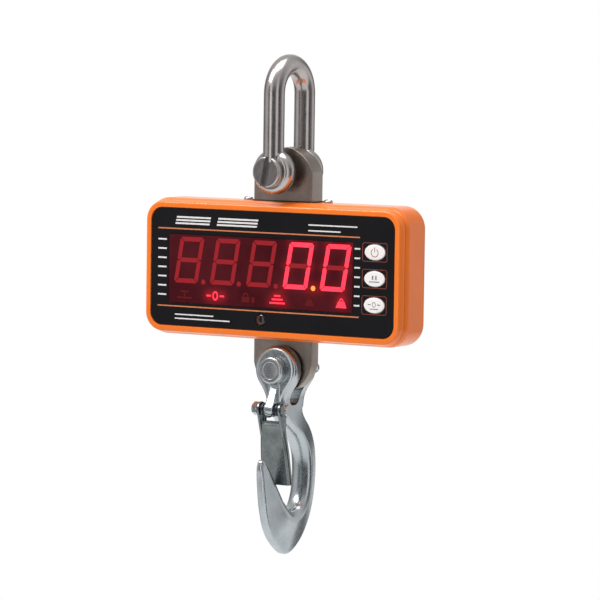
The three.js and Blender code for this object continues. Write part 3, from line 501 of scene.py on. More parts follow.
def make_finishes(look):
    """Every material of the scale, each named for what it is."""
    metal = {"metallic": 1.0}
    # Stainless round bar, electropolished: mirror-like, with faint rubbing and darker drawn streaks.
    surface("stainless_electropolished", ("b6b0ae", "bcb6b4", "c2bcba"), (0.18, 0.27), 0.9,
            bump=0.003, patch=16, stretch=(1, 1, 0.25), edge_wear_and_highlight="cfcac8", **metal)
    # Steel plate, satin nickel: warm grey, milled lines across the bar half a mm apart.
    surface("nickel_satin_milled", ("968b83", "9f948b", "aaa097"), (0.28, 0.44), 0.5,
            bump=0.012, patch=16, stretch=(0.06, 1, 1), edge_wear_and_highlight="c9c0b8", **metal)
    # Forged steel, bright zinc: soft mottling from the dies and a slightly rough skin.
    surface("zinc_on_forging", ("b3bbbf", "bcc3c7", "c6cccf"), (0.2, 0.3), 2.4,
            bump=0.02, patch=13, edge_wear_and_highlight="bfc3c4", **metal)
    # Pressed sheet steel, zinc: smoother than the forging, rolling lines along it. Its sharp edges are
    # lightened far above its grey: rubbed wear and a painted highlight on the flanges.
    surface("zinc_on_pressed_sheet", ("73797a", "7f8585", "8c9292"), (0.2, 0.34), 0.6,
            bump=0.008, patch=8, stretch=(1, 1, 0.2), edge_wear_and_highlight="b9bdbd", **metal)
    # Turned steel fasteners, bright zinc: fine lathe lines and a cool sheen.
    surface("zinc_on_turned_steel", ("b0b5b7", "babec0", "c4c8ca"), (0.18, 0.3), 0.35,
            bump=0.008, patch=5, edge_wear_and_highlight="d0d3d4", **metal)
    # Spring wire, oil-blued: blue-black with brown hints.
    surface("blued_spring_wire", ("262b34", "3b4450", "453f42"), (0.24, 0.4), 0.3,
            bump=0.006, patch=2.5, edge_wear_and_highlight="6d7580", **metal)
    # Die-cast case, gloss orange enamel: faint orange peel under a clear, hard gloss. Its sharp edges
    # are lightened to a paler orange: a painted highlight.
    surface("enamel_orange_gloss", shades(look.case_colour, 0.04), (0.2, 0.27), 4.0,
            bump=0.006, patch=34, edge_wear_and_highlight="ff9a4c",
            shine={"Coat Weight": 0.25, "Coat Roughness": 0.08, "IOR": 1.45})
    # Printed polycarbonate sheet, matt black: very fine velvet grain.
    surface("polycarbonate_black_velvet", shades(look.panel_colour, 0.15), (0.34, 0.46), 0.22,
            bump=0.003, patch=25, shine={"IOR": 1.58, "Specular IOR Level": 0.12})
    # Moulded silicone rubber, off-white: soft and slightly translucent looking.
    surface("silicone_white_moulded", shades(look.key_colour, 0.04), (0.45, 0.58), 0.5,
            bump=0.01, patch=6)
    # Moulded nitrile rubber, black: dull with a dusty bloom.
    surface("nitrile_black_moulded", ("171616", "211f1f"), (0.62, 0.8), 0.6, bump=0.02, patch=8)
    # Cast acrylic lens, near black red.
    surface("acrylic_infrared_black", ("14080a", "220c10"), (0.05, 0.1), 1.5, bump=0.001, patch=3,
            shine={"Coat Weight": 0.5, "Coat Roughness": 0.03, "IOR": 1.49})
    # Moulded ABS housings of the electronics, charcoal.
    surface("abs_charcoal_moulded", ("211d1f", "2c2729"), (0.5, 0.64), 0.4, bump=0.015, patch=6)
    # Shrink wrap on the cells, blue: glossy with soft creases.
    surface("shrink_film_blue", ("35567f", "41679a"), (0.24, 0.4), 5.0, bump=0.1, patch=12)
    # Etched foil gauge on polyimide: amber film with copper-coloured grid lines.
    surface("polyimide_gauge_amber", ("9a5c1c", "b87a33", "c98f4c"), (0.3, 0.42), 0.5,
            bump=0.01, patch=1.5, stretch=(0.2, 1, 1))
    # Screen-printed inks: white, burnt orange, and the grey and red-brown round and on the keys.
    for name, low, high in (
        ("ink_white_printed", "dcd9d8", "ece9e8"), ("ink_orange_printed", "cb7343", "d9804f"),
        ("ink_grey_printed", "77716f", "8b8583"), ("ink_red_brown_printed", "8f3a2a", "a34836"),
    ):
        surface(name, (low, high), (0.4, 0.52), 0.3, bump=0.004, patch=2)
    green_board("solder_mask_green")
    red_acrylic("acrylic_red_window")
    # LED bars: lit, waiting, the fainter waiting marks, and the amber point. The waiting bars and marks
    # are unlit yet glow faintly: a painted glow.
    lamp("led_red_lit", look.led_colour, look.led_strength)
    lamp("led_red_waiting", "8e1f25", 0.2)
    lamp("led_red_faint", "5c1618", 0.2)
    lamp("led_amber_lit", "ff8a3c", 1.0)
    # Matt studio paper, near white, so that the ground reads as plain as the walls.
    surface("paper_pale_matt", ("f2f2f1", "f4f4f3"), (0.9, 0.95), 3.0, bump=0.0, patch=900,
            shine={"Emission Color": (1, 1, 1, 1), "Emission Strength": 0.4})


KEPT_FINISHES = {
    "strain_gauge_front": "polyimide_gauge_amber", "strain_gauge_rear": "polyimide_gauge_amber",
    "top_yoke": "zinc_on_turned_steel", "bottom_yoke": "zinc_on_turned_steel",
    "battery": "shrink_film_blue", "charging_socket": "nitrile_black_moulded",
    "main_board": "solder_mask_green", "indicator_strip": "abs_charcoal_moulded",
    "infrared_receiver": "abs_charcoal_moulded",
    **{f"led_digit_{i}": "abs_charcoal_moulded" for i in range(1, 6)},
    **{f"board_screw_{i}": "zinc_on_turned_steel" for i in range(1, 5)},
    **{f"{key}_switch": "abs_charcoal_moulded" for key in KEYS},
}


# ---------------------------------------------------------------- shackle
def make_shackle(sizes):
    """The bow is a round wire up one leg, half round and down the other, melted into two bulged
    ears; its pin is a turned shank with a slotted head."""
    top = WIRE_R - LEG_Y
    bend = arc(0, top, LEG_Y, 0, math.pi, 96)
    right = np.stack([np.full(24, LEG_Y), np.linspace(PIN_Z + 4, top, 24, endpoint=False)], 1)
    path = np.concatenate([right, bend, right[::-1] * [-1, 1]])
    path = np.stack([np.zeros(len(path)), path[:, 0], path[:, 1]], 1)
    wire = sweep(path, WIRE_R, sides=40)
    ear = through([(0.01, EAR_IN), (EAR_R - 2.4, EAR_IN), (EAR_R - 0.7, EAR_IN + 0.9),
                   (EAR_R, EAR_IN + 4), (EAR_R - 0.4, EAR_OUT - 3), (EAR_R - 2.6, EAR_OUT - 0.2),
                   (EAR_R - 5, EAR_OUT), (0.01, EAR_OUT)], 5)
    ear = np.clip(ear, [0, EAR_IN], [EAR_R, EAR_OUT])
    at = (0, 0, PIN_Z)
    bow = object_of("shackle_bow_forged", merged(
        wire, lathe(ear, "y", at, 72), lathe(ear * [1, -1], "y", at, 72)))
    forged(bow, sizes.forging_grain / MM, 6)
    bored(bow, cylinder(PIN_HOLE_R, -THROUGH, THROUGH, "y", at, 64))
    finished(bow, "stainless_electropolished", "shackle", "polished_stainless", "shackle_bow",
             crease=45)

    front, under, end = PIN_LOW[1], PIN_LOW[1] + PIN_HEAD_T, PIN_HIGH[1]
    head = PIN_HIGH[0]
    profile = [(0, front), (head - 1.5, front)]
    profile += arc(head - 1.1, front + 1.1, 1.1, -math.pi / 2, 0, 7).tolist()
    profile += [(head, under - 0.4), (head - 0.4, under), (PIN_R, under), (PIN_R, end - 1.2),
                (PIN_R - 1.1, end), (0, end)]
    pin = object_of("shackle_pin_turned", lathe(profile, "y", at, 96))
    slot = plate(rounded_rect(0, 0, SLOT_HALF_W, 2 * head, 0.3, 3), front - 1, front + SLOT_DEPTH,
                 "y")
    turn = Matrix.Rotation(SLOT_TURN, 3, "Y")
    points = slot[0] @ np.array(turn).T + [0, 0, PIN_Z]
    bored(pin, (points, slot[1]))
    finished(pin, "stainless_electropolished", "shackle", "polished_stainless", "shackle_pin")


# ---------------------------------------------------------------- load bar
TOP_END_R, LOW_END_R = 22.6, 21.9
BAR_STEP = 11  # the thick plate ends this far above the casing's low rim
THIN_HALF = 4.0
POCKET_HALF_W, POCKET_HALF_H, POCKET_R = 13, 17.5, 6
WEB_HALF = 2.5  # the steel left between the two gauge pockets
SEAL_IN, SEAL_OUT = 0.8, 2.9  # how far a seal reaches into the casing and stands out of it


def bar_outline(z0, z1):
    """The bar's outline between two heights: straight sides, and an end of a large radius where
    the height is an end of the bar."""
    w, q = BAR_HIGH[0], math.pi / 2
    top_half, low_half = math.asin(w / TOP_END_R), math.asin(w / LOW_END_R)
    upper = arc(0, BAR_HIGH[2] - TOP_END_R, TOP_END_R, q - top_half, q + top_half, 40)
    lower = arc(0, BAR_LOW[2] + LOW_END_R, LOW_END_R, -q - low_half, -q + low_half, 40)
    top = upper if z1 >= BAR_HIGH[2] else np.array([(w, z1), (-w, z1)])
    bottom = lower if z0 <= BAR_LOW[2] else np.array([(-w, z0), (w, z0)])
    return np.concatenate([top, bottom])


def flared_bore(r, straight, mouth_r, reach, z):
    """A cutter for a pin hole along Y: radius r over the straight half-length, then a cone that
    opens to mouth_r at the half-length reach."""
    half = [(r, straight), (mouth_r, reach), (0, reach)]
    return lathe([(q, -y) for q, y in reversed(half)] + half, "y", (0, 0, z), 72)


def make_bar():
    """Two flat plates, thick above and thin below, welded inside the casing, with both pin holes
    and the two gauge pockets cut."""
    step = CASE_Z - RIM_HALF_H + BAR_STEP
    thick, thin = BAR_HIGH[1], THIN_HALF
    bar = object_of("load_bar_milled", plate(
        bar_outline(step, 0), -thick, thick, "y", bevel=0.45, steps=4))
    welded(bar, plate(bar_outline(-300, step + 4), -thin, thin, "y", bevel=0.4, steps=4))
    pocket = rounded_rect(0, CASE_Z, POCKET_HALF_W, POCKET_HALF_H, POCKET_R)
    bored(bar,
          flared_bore(PIN_HOLE_R, thick - 0.9, 8.4, 9, PIN_Z),
          flared_bore(CLEVIS_HOLE_R, thin - 0.7, 8.2, 7, CLEVIS_Z),
          plate(pocket, -30, -WEB_HALF, "y"), plate(pocket, WEB_HALF, 30, "y"))
    finished(bar, "nickel_satin_milled", "scale", "nickel_steel", "load_cell")
    for side, z0, z1, half in (
        ("top", CASE_Z + RIM_HALF_H - SEAL_IN, CASE_Z + RIM_HALF_H + SEAL_OUT, thick),
        ("bottom", CASE_Z - RIM_HALF_H - SEAL_OUT, CASE_Z - RIM_HALF_H + SEAL_IN, thin),
    ):
        w = BAR_HIGH[0]
        seal = plate(rounded_rect(0, 0, w + 1.2, half + 1.2, 1.8), z0, z1, "z",
                     holes=[rounded_rect(0, 0, w + 0.4, half + 0.4, 0.6)], bevel=0.35)
        finished(object_of(f"{side}_seal_moulded", seal), "nitrile_black_moulded", "scale",
                 "black_rubber", f"{side}_seal")


# ---------------------------------------------------------------- casing
def rim(offset, y, steps=14):
    """The casing's outline, grown by an offset, at a depth."""
    flat = rounded_rect(0, CASE_Z, RIM_HALF_W + offset, RIM_HALF_H + offset, RIM_R + offset, steps)
    return stacked(*flat.T, y, "y")


def casing(levels):
    """A solid whose outline at each depth is the rim grown by an offset: rows of [offset, y]."""
    return skin(np.stack([rim(s, y) for s, y in levels]))


CORNERS = [(sx, sz) for sx in (-1, 1) for sz in (-1, 1)]
WALL, RIM_W, SEAT_Y = 2.6, 3.7, -19.3  # wall, width of the front rim, and the sheet's seat
CASE_SCREW, BOARD_SCREW = (84.5, 33), (84, 22)  # from the casing's middle, across and up
TOP_SCREW_X, DOOR_SCREW_X = 29.5, 22.4  # the door's from the door's middle
SCREW_BORE_R, SINK_R, SINK_DEPTH = 1.8, 3.4, 2.3
CASE_POST_R, BOARD_POST_R, DOOR_POST_R = 4.4, 2.6, 3
SOCKET_BORE_R, CAP_SEAT_R, CAP_SEAT_DEPTH = 4.4, 6.5, 1.6
SPIGOT = 2.4  # the front cover's spigot reaches this far into the rear shell


def screw_at(sx, sz, place=CASE_SCREW):
    """One of four mirrored places round the casing's middle."""
    return (sx * place[0], 0, CASE_Z + sz * place[1])


def make_casing():
    """Front cover and rear shell: the rounded outline swells and draws in with depth along a
    smooth curve of offset against depth, then the rooms, slots and holes are cut."""
    edge = through([(-1.7, FRONT_Y), (-0.95, FRONT_Y + 0.12), (-0.4, FRONT_Y + 0.4),
                    (-0.08, FRONT_Y + 0.85), (0.1, FRONT_Y + 1.5)], 3).tolist()
    cover = object_of("front_cover_cast", casing(
        edge + [(0.6, -18.0), (0.93, -16.6), (0.88, -16.3), (0.5, SPLIT_Y - 0.4)]))
    spigot = rim(-WALL - 0.4, 0)[:, [0, 2]]
    inner = rim(-WALL - 2.3, 0)[:, [0, 2]]
    bores = [cylinder(SCREW_BORE_R, -18, 30, "y", screw_at(*c), 24) for c in CORNERS]
    bores += [cylinder(1.3, -16.2, 30, "y", screw_at(*c, BOARD_SCREW), 20) for c in CORNERS]
    low, high = SPLIT_Y - 1, SPLIT_Y + SPIGOT
    posts = [cylinder(CASE_POST_R, low, high, "y", screw_at(*c)) for c in CORNERS]
    posts += [cylinder(BOARD_POST_R, low, -10, "y", screw_at(*c, BOARD_SCREW)) for c in CORNERS]
    welded(cover, plate(spigot, low, high, "y", holes=[inner], bevel=0.2), *posts)
    openings = [plate(rounded_rect(*WINDOW, 0.3, 3), -30, 0, "y")]
    openings += [plate(ellipse(KEY_X, z, *KEY_COVER_HALF), -30, 0, "y") for z in KEY_Z]
    openings.append(cylinder(4, -30, 0, "y", (LENS_X, 0, LENS_Z)))
    recess = casing([(-RIM_W, SEAT_Y), (-RIM_W, FRONT_Y + 0.35), (-RIM_W + 0.1, FRONT_Y + 0.1),
                     (-RIM_W + 0.35, FRONT_Y - 0.01), (-RIM_W + 0.35, FRONT_Y - 4)])
    bored(cover, recess)
    for tool in openings + bores:
        bored(cover, tool)
    finished(cover, "enamel_orange_gloss", "scale", "orange_enamel", "front_cover")

    back = [(0.9, SPLIT_Y)] + through([
        (1.35, SPLIT_Y + 0.7), (1.75, SPLIT_Y + 1.8), (2.08, SPLIT_Y + 3.0), (2.2, SPLIT_Y + 4.2)],
        3).tolist()
    back += through([(2.2, BACK_Y - 5), (1.95, BACK_Y - 3.5), (1.2, BACK_Y - 2.1),
                     (0.3, BACK_Y - 1.1), (-0.9, BACK_Y - 0.4), (-1.9, BACK_Y - 0.1),
                     (-2.8, BACK_Y)], 3).tolist()
    shell = object_of("rear_shell_cast", casing(back))
    bored(shell, casing([(-WALL, SPLIT_Y - 1), (-WALL, BACK_Y - WALL)]))
    door_screws = [(DOOR_X + s * DOOR_SCREW_X, 0, CASE_Z) for s in (-1, 1)]
    posts = [cylinder(CASE_POST_R, SPLIT_Y + 2.8, BACK_Y - 1, "y", screw_at(*c)) for c in CORNERS]
    posts += [cylinder(DOOR_POST_R, 2.5, BACK_Y - 1.6, "y", at) for at in door_screws]
    welded(shell, *posts)
    slot_w = BAR_HIGH[0] + 1.6
    tools = [plate(rounded_rect(0, 0, slot_w, BAR_HIGH[1] + 1.6, 2), CASE_Z, 0, "z"),
             plate(rounded_rect(0, 0, slot_w, THIN_HALF + 1.6, 2), -FAR, CASE_Z, "z"),
             cylinder(SOCKET_BORE_R, -FAR, CASE_Z, "z", (SOCKET_X, SOCKET_Y, 0), 32),
             plate(rounded_rect(DOOR_X, CASE_Z, 26, 27, 3), BACK_Y - 1.4, 40, "y"),
             plate(rounded_rect(DOOR_X, CASE_Z, 19, 24, 2), 0, 40, "y")]
    bar_screws = [(s * TOP_SCREW_X, 0, 0) for s in (-1, 1)]
    tools += [cylinder(SCREW_BORE_R, -FAR, FAR, "z", at, 24) for at in bar_screws]
    tools += [cylinder(1.6, 3.5, 40, "y", at, 24) for at in door_screws]
    under = SHELL_LOW[2]
    tools += [cylinder(SINK_R, -FAR, under + SINK_DEPTH, "z", at, 40) for at in bar_screws]
    tools.append(cylinder(CAP_SEAT_R, -FAR, under + CAP_SEAT_DEPTH, "z",
                          (SOCKET_X, SOCKET_Y, 0), 56))
    for c in CORNERS:
        tools += [cylinder(SCREW_BORE_R, -THROUGH, 40, "y", screw_at(*c), 24),
                  cylinder(SINK_R, BACK_Y - 3, 40, "y", screw_at(*c), 40)]
    for tool in tools:
        bored(shell, tool)
    finished(shell, "enamel_orange_gloss", "scale", "orange_enamel", "rear_shell")


# ---------------------------------------------------------------- panel
def digit_bars(x, z, w, h, t, lean):
    """The seven bars of a digit: mitred trapezoids round the edge and a pointed bar across, each
    sheared sideways by lean times height. Top, top right, low right, bottom, low left, top left,
    middle."""
    g, a, b, c = 0.3, w / 2, h / 2, 0.42 * t  # gap, half sizes, corner cut
    top = [(-a + c + g, b), (-a + c / 2 + g, b - c / 2), (-a + t + g, b - t), (a - t - g, b - t),
           (a - c / 2 - g, b - c / 2), (a - c - g, b)]
    side = [(a - c / 2, b - c / 2 - g), (a - t, b - t - g), (a - t, t / 2 + g),
            (a - t / 2 - g, g), (a - c / 2, g), (a, g + c / 2), (a, b - c - g)]
    middle = [(-a + t / 2 + g, 0), (-a + t + g, -t / 2), (a - t - g, -t / 2), (a - t / 2 - g, 0),
              (a - t - g, t / 2), (-a + t + g, t / 2)]
    top, side, middle = (np.array(p, float) for p in (top, side, middle))
    bars = [top, side, side[::-1] * [1, -1], top[::-1] * [1, -1], side * [-1, -1],
            side[::-1] * [-1, 1], middle]
    return [anticlockwise(p) @ np.array([[1, 0], [lean, 1]]) + [x, z] for p in bars]


def anticlockwise(outline):
    """An outline run anticlockwise: reversed where the sum of its cross products is negative."""
    u, v = np.asarray(outline, float).T
    area = (u * np.roll(v, -1) - np.roll(u, -1) * v).sum()
    return outline if area > 0 else outline[::-1]


def bar_shape(x0, x1, z0, z1, lean=0.0):
    """A printed bar, leaning by lean times its height."""
    d = lean * (z1 - z0)
    return np.array([(x0, z0), (x1, z0), (x1 + d, z1), (x0 + d, z1)], float)


def ring_shape(x, z, rx, rz, wide, a0, a1):
    """A band round part of an oval, from angle a0 to a1: cosine and sine times each half size."""
    a = np.linspace(a0, a1, 40)
    u, v = np.cos(a), np.sin(a)
    outer = np.stack([x + rx * u, z + rz * v], 1)
    inner = np.stack([x + (rx - wide) * u, z + (rz - wide) * v], 1)
    return np.concatenate([outer, inner[::-1]])


def prints(name, shapes, face_y, material, body, slot, thick=PRINT_T):
    """Flat marks a few hundredths of a millimetre proud of a face."""
    lots = []
    for shape in shapes:
        outer, *holes = shape if isinstance(shape, tuple) else (shape,)
        lots.append(plate(anticlockwise(outer), face_y - thick, face_y + 0.02, "y",
                          [anticlockwise(h) for h in holes]))
    made = merged(*lots)
    return finished(object_of(name, made), material, body, slot)


def marks():
    """The six small pictograms under the digits, lit or waiting, of plain bars and rings: a pan, a
    ring between dashes, a padlock, a stack of bars, and two weights."""
    z, t = MARK_Z, 0.9
    lit, waiting = [], []
    x = MARK_X[0]
    waiting += [bar_shape(x - 5.6, x + 5.6, z - 2.3, z - 1.4), bar_shape(x - 3, x + 3, z + 1, z + 1.9),
                bar_shape(x - 0.5, x + 0.5, z - 1.2, z + 0.8)]
    x = MARK_X[1]
    lit += [bar_shape(x - 6.6, x - 3.4, z - 0.5, z + 0.4),
            (ellipse(x, z, 2.1, 2.5), ellipse(x, z, 2.1 - t, 2.5 - t)),
            bar_shape(x + 3.4, x + 6.6, z - 0.5, z + 0.4)]
    x = MARK_X[2]
    waiting += [bar_shape(x - 3, x + 3, z - 2.5, z + 0.4),
                ring_shape(x, z + 0.6, 2.2, 2.1, t, 0, math.pi),
                bar_shape(x + 4.4, x + 6.6, z - 2.5, z + 0.4)]
    x = MARK_X[3]
    lit += [bar_shape(x - 5.7, x + 5.7, z - 2.3, z - 1.4), bar_shape(x - 4, x + 4, z - 0.4, z + 0.5),
            bar_shape(x - 2.3, x + 2.3, z + 1.5, z + 2.4)]
    x = MARK_X[4]
    waiting += [np.array([(x - 3.4, z - 2.4), (x + 3.4, z - 2.4), (x + 1.7, z + 1), (x - 1.7, z + 1)]),
                ring_shape(x, z + 1.2, 1.3, 1.3, 0.6, 0, math.pi)]
    x = MARK_X[5]
    lit += [np.array([(x - 3.9, z - 2.4), (x + 3.9, z - 2.4), (x + 2.2, z + 1), (x - 2.2, z + 1)]),
            ring_shape(x, z + 1.2, 1.5, 1.4, 0.7, 0, math.pi)]
    tall = [1, 1.2]
    return ([stretched(m, z, tall) for m in lit], [stretched(m, z, tall) for m in waiting])


def stretched(mark, z, by):
    """A mark drawn taller about height z; a mark may be an outline with a hole."""
    if isinstance(mark, tuple):
        return tuple(stretched(m, z, by) for m in mark)
    return (mark - [0, z]) * by + [0, z]


def make_window(sizes):
    """The red window is a closed grid that carries a glow: the sum over the lit bars of the mean of
    exp(-distance^2 / GLOW_SPREAD) over each bar's points. The digits' bars lie on its face."""
    lit, waiting, dots_waiting, dots_lit = [], [], [], []
    wide, tall, bar_t = sizes.digit_width / MM, sizes.digit_height / MM, sizes.bar_width / MM
    for i in range(5):
        x = DIGIT_X0 + i * DIGIT_PITCH
        bars = digit_bars(x, DIGIT_Z, wide, tall, bar_t, math.tan(sizes.digit_lean))
        (lit if i > 2 else waiting).extend(bars[:6])
        waiting.append(bars[6])
    for x in POINT_X:
        dots = dots_lit if x == POINT_X[-1] else dots_waiting
        dots.append(ellipse(x, POINT_Z, POINT_R, POINT_R, 28))
    lit_marks, waiting_marks = marks()
    face = GLASS_LOW[1]
    prints("led_bars_lit", lit + lit_marks, face, "led_red_lit", "scale", "red_filter")
    prints("led_bars_waiting", waiting + dots_waiting, face, "led_red_waiting", "scale",
           "red_filter")
    prints("led_marks_waiting", waiting_marks, face, "led_red_faint", "scale", "red_filter")
    prints("led_point_lit", dots_lit, face, "led_amber_lit", "scale", "red_filter")

    xs = np.linspace(GLASS_LOW[0], GLASS_HIGH[0], 138)
    zs = np.linspace(GLASS_LOW[2], GLASS_HIGH[2], 45)
    x, z = np.meshgrid(xs, zs)
    n = x.size
    front, rear = stacked(x, z, face, "y"), stacked(x, z, GLASS_HIGH[1], "y")
    quads = grid_faces(*x.shape, wrap_cols=False)
    side = np.arange(n).reshape(x.shape)
    edge = np.concatenate([side[0, :-1], side[:-1, -1], side[-1, :0:-1], side[:0:-1, 0]])
    walls = np.stack([edge, np.roll(edge, -1), np.roll(edge, -1) + n, edge + n], 1).tolist()
    window = object_of("display_window_cast", (
        np.concatenate([front.reshape(-1, 3), rear.reshape(-1, 3)]),
        quads + [[i + n for i in q][::-1] for q in quads] + walls))
    finished(window, "acrylic_red_window", "scale", "red_filter", "display_window")
    co = np.empty(len(window.data.vertices) * 3)
    window.data.vertices.foreach_get("co", co)
    co = co.reshape(-1, 3) / MM
    glow = np.zeros(len(co))
    for bar in lit + [m[0] if isinstance(m, tuple) else m for m in lit_marks] + dots_lit:
        spots = np.concatenate([bar, (bar + np.roll(bar, 1, 0)) / 2, bar.mean(0)[None]])
        gap2 = ((co[:, None, [0, 2]] - spots[None]) ** 2).sum(2)
        glow += np.exp(-gap2 / GLOW_SPREAD).mean(1)
    window.data.attributes.new("glow", "FLOAT", "POINT").data.foreach_set("value", np.minimum(glow, 1))


def make_panel():
    """The black sheet with its openings, and the inks on it: rule lines, scale ticks, the frames
    round the keys and plain bars where a label would be."""
    outline = rim(-RIM_W - 0.4, 0)[:, [0, 2]]
    openings = [rounded_rect(*WINDOW, 0.8, 4)]
    openings += [ellipse(KEY_X, z, *KEY_SHEET_HALF) for z in KEY_Z]
    openings.append(ellipse(LENS_X, LENS_Z, 3.95, 3.95, 40))
    sheet = plate(outline, SHEET_LOW[1], SHEET_HIGH[1], "y", holes=openings, bevel=0.12, steps=2)
    finished(object_of("panel_sheet_printed", sheet), "polycarbonate_black_velvet", "scale",
             "black_overlay", "panel_overlay")
    rules = [bar_shape(-84.8, 64.9, z - 0.4, z + 0.4) for z in (-99.2, -149.0)]
    frames = [(rounded_rect(KEY_X, z, 8.9, 5.9, 1.5, 6), rounded_rect(KEY_X, z, 8.6, 5.6, 1.2, 6))
              for z in KEY_Z]
    prints("panel_rules_printed", rules, SHEET_Y, "ink_orange_printed", "scale", "black_overlay")
    prints("key_frames_printed", frames, SHEET_Y, "ink_red_brown_printed", "scale",
           "black_overlay")
    heading = []
    for x0, x1 in ((-84.6, -78.2), (61.2, 65.2)):
        heading += [bar_shape(x0, x1, z - 0.5, z + 0.5) for z in np.linspace(-106.3, -141.8, 7)]
    for x0, x1 in ((-71.8, -46), (-40.5, -10.6)):
        heading += [bar_shape(x0 + 0.5 * i, x1 + 0.5 * i, z - 0.55, z + 0.55, 0.2)
                    for i, z in enumerate((-95.7, -93.7, -91.7))]
    heading += [bar_shape(27.4, 62.9, -93.3, -92.5), bar_shape(27.4, 50.9, -96.9, -96.1)]
    heading += [bar_shape(-71.4, -42.2, -154.6, -153.8), bar_shape(-71.4, -30, -157.2, -156.4)]
    prints("panel_bars_printed", heading, SHEET_Y, "ink_white_printed", "scale", "black_overlay")


def make_keys():
    """Each key is an oval of height h(r) = crown * (1 - r^2) over a short wall and a flange; the
    marks on it ride with it."""
    front, seat = box_mm("power_key")[0][1], SEAT_Y
    for key, z in zip(KEYS, KEY_Z):
        rings = [(s, front + KEY_CROWN * s * s) for s in (0.02, 0.25, 0.45, 0.65, 0.8, 0.9)]
        rings += [(0.95, front + 0.16), (0.985, front + 0.28), (1.0, front + 0.5),
                  (1.0, seat - 0.02), (KEY_FLANGE, seat), (KEY_FLANGE, seat + 1)]
        made = np.stack([stacked(*ellipse(KEY_X, z, KEY_HALF[0] * s, KEY_HALF[1] * s, 72).T, y, "y")
                         for s, y in rings])
        stem = cylinder(STEM_R, seat + 0.8, STEM_END_Y, "y", (KEY_X, 0, z), 28)
        cap = object_of(f"{key}_key_moulded", skin(made))
        welded(cap, stem)
        finished(cap, "silicone_white_moulded", f"{key}_button", "key_face", f"{key}_key")
    face = front + 0.02
    x, z = KEY_X, KEY_Z[0]
    gap = 0.55
    prints("power_mark_printed", [
        ring_shape(x, z - 0.3, 2.7, 2.7, 0.42, math.pi / 2 + gap, math.pi / 2 - gap + TAU),
        bar_shape(x - 0.22, x + 0.22, z, z + 3.0)],
        face, "ink_red_brown_printed", "power_button", "key_face", KEY_INK_T)
    z = KEY_Z[1]
    prints("hold_mark_printed", [
        bar_shape(x - 1.7, x - 0.7, z - 0.6, z + 2.0), bar_shape(x + 0.7, x + 1.7, z - 0.6, z + 2.0),
        bar_shape(x - 3.6, x + 3.6, z - 2.2, z - 1.6)],
        face, "ink_grey_printed", "hold_button", "key_face", KEY_INK_T)
    z = KEY_Z[2]
    prints("zero_mark_printed", [
        (ellipse(x, z + 0.4, 1.3, 1.7), ellipse(x, z + 0.4, 0.85, 1.25)),
        bar_shape(x - 4.4, x - 2.2, z + 0.1, z + 0.7), bar_shape(x + 2.2, x + 4.4, z + 0.1, z + 0.7),
        bar_shape(x - 3, x + 3, z - 2.6, z - 2.1)],
        face, "ink_grey_printed", "zero_button", "key_face", KEY_INK_T)
    dome = through([(0.01, LENS_LOW[1]), (1.4, LENS_LOW[1] + 0.06), (2.7, LENS_LOW[1] + 0.38),
                    (3.4, LENS_LOW[1] + 0.9), (LENS_R, LENS_LOW[1] + 1.4)], 5).tolist()
    lens = lathe(dome + [(LENS_R, LENS_HIGH[1]), (0.01, LENS_HIGH[1])], "y",
                 (LENS_X, 0, LENS_Z), 64)
    finished(object_of("sensor_lens_cast", lens), "acrylic_infrared_black", "scale",
             "lens_acrylic", "sensor_lens")


# ---------------------------------------------------------------- fasteners and small parts
def screw_shape(r, dome, shank_r, length, axis, sign, at):
    """A pan-head screw on a polar grid: the head's height is dome * (1 - 0.55 (r/R)^4), less a
    cross recess whose depth falls off smoothly beside its two arms."""
    rho = np.array([0.02, 0.12, 0.22, 0.32, 0.42, 0.52, 0.62, 0.74, 0.86, 0.94, 1.0])[::-1]
    a = np.linspace(0, TAU, 64, endpoint=False)
    u, v = r * np.outer(rho, np.cos(a)), r * np.outer(rho, np.sin(a))
    h = dome * (1 - 0.55 * (np.hypot(u, v) / r) ** 4)
    arm, reach = 0.17 * r, 0.62 * r
    near = np.minimum(np.abs(u), np.abs(v))
    far = np.maximum(np.abs(u), np.abs(v))
    h -= 0.62 * dome * smooth_step((arm * 1.6 - near) / arm) * smooth_step((reach - far) / arm + 0.5)
    rows = [(0.01, -length), (shank_r, -length), (shank_r, 0), (r * 0.97, 0), (r, 0.12 * dome)]
    base = [(q * np.cos(a), q * np.sin(a), np.full_like(a, y)) for q, y in rows]
    grid = [np.stack([p, q, y], 1) for p, q, y in base]
    grid += [np.stack([p, q, y], 1) for p, q, y in zip(u, v, h)]
    grid = np.stack(grid)
    return skin(stacked(grid[..., 0], grid[..., 1], sign * grid[..., 2], axis, at))


def make_screws():
    """Each screw takes its radius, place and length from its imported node's box."""
    for node, way in SCREW_NODES.items():
        low, high = box_mm(node)
        axis, sign = way[0], 1 if way[1] == "+" else -1
        k = "xyz".index(axis)
        across = [i for i in range(3) if i != k]
        r = (high[across[0]] - low[across[0]]) / 2
        tall, shank = (1.1, 1.2) if node.startswith("door") else (2.0, 1.4)
        end = high[k] if sign > 0 else low[k]
        at = (low + high) / 2
        at[k] = end - sign * tall
        length = high[k] - low[k] - tall
        made = screw_shape(r, tall, shank, length, axis, sign, at)
        finished(object_of(f"{node}_turned", made), "zinc_on_turned_steel", "scale",
                 "screw_steel", node, crease=50)


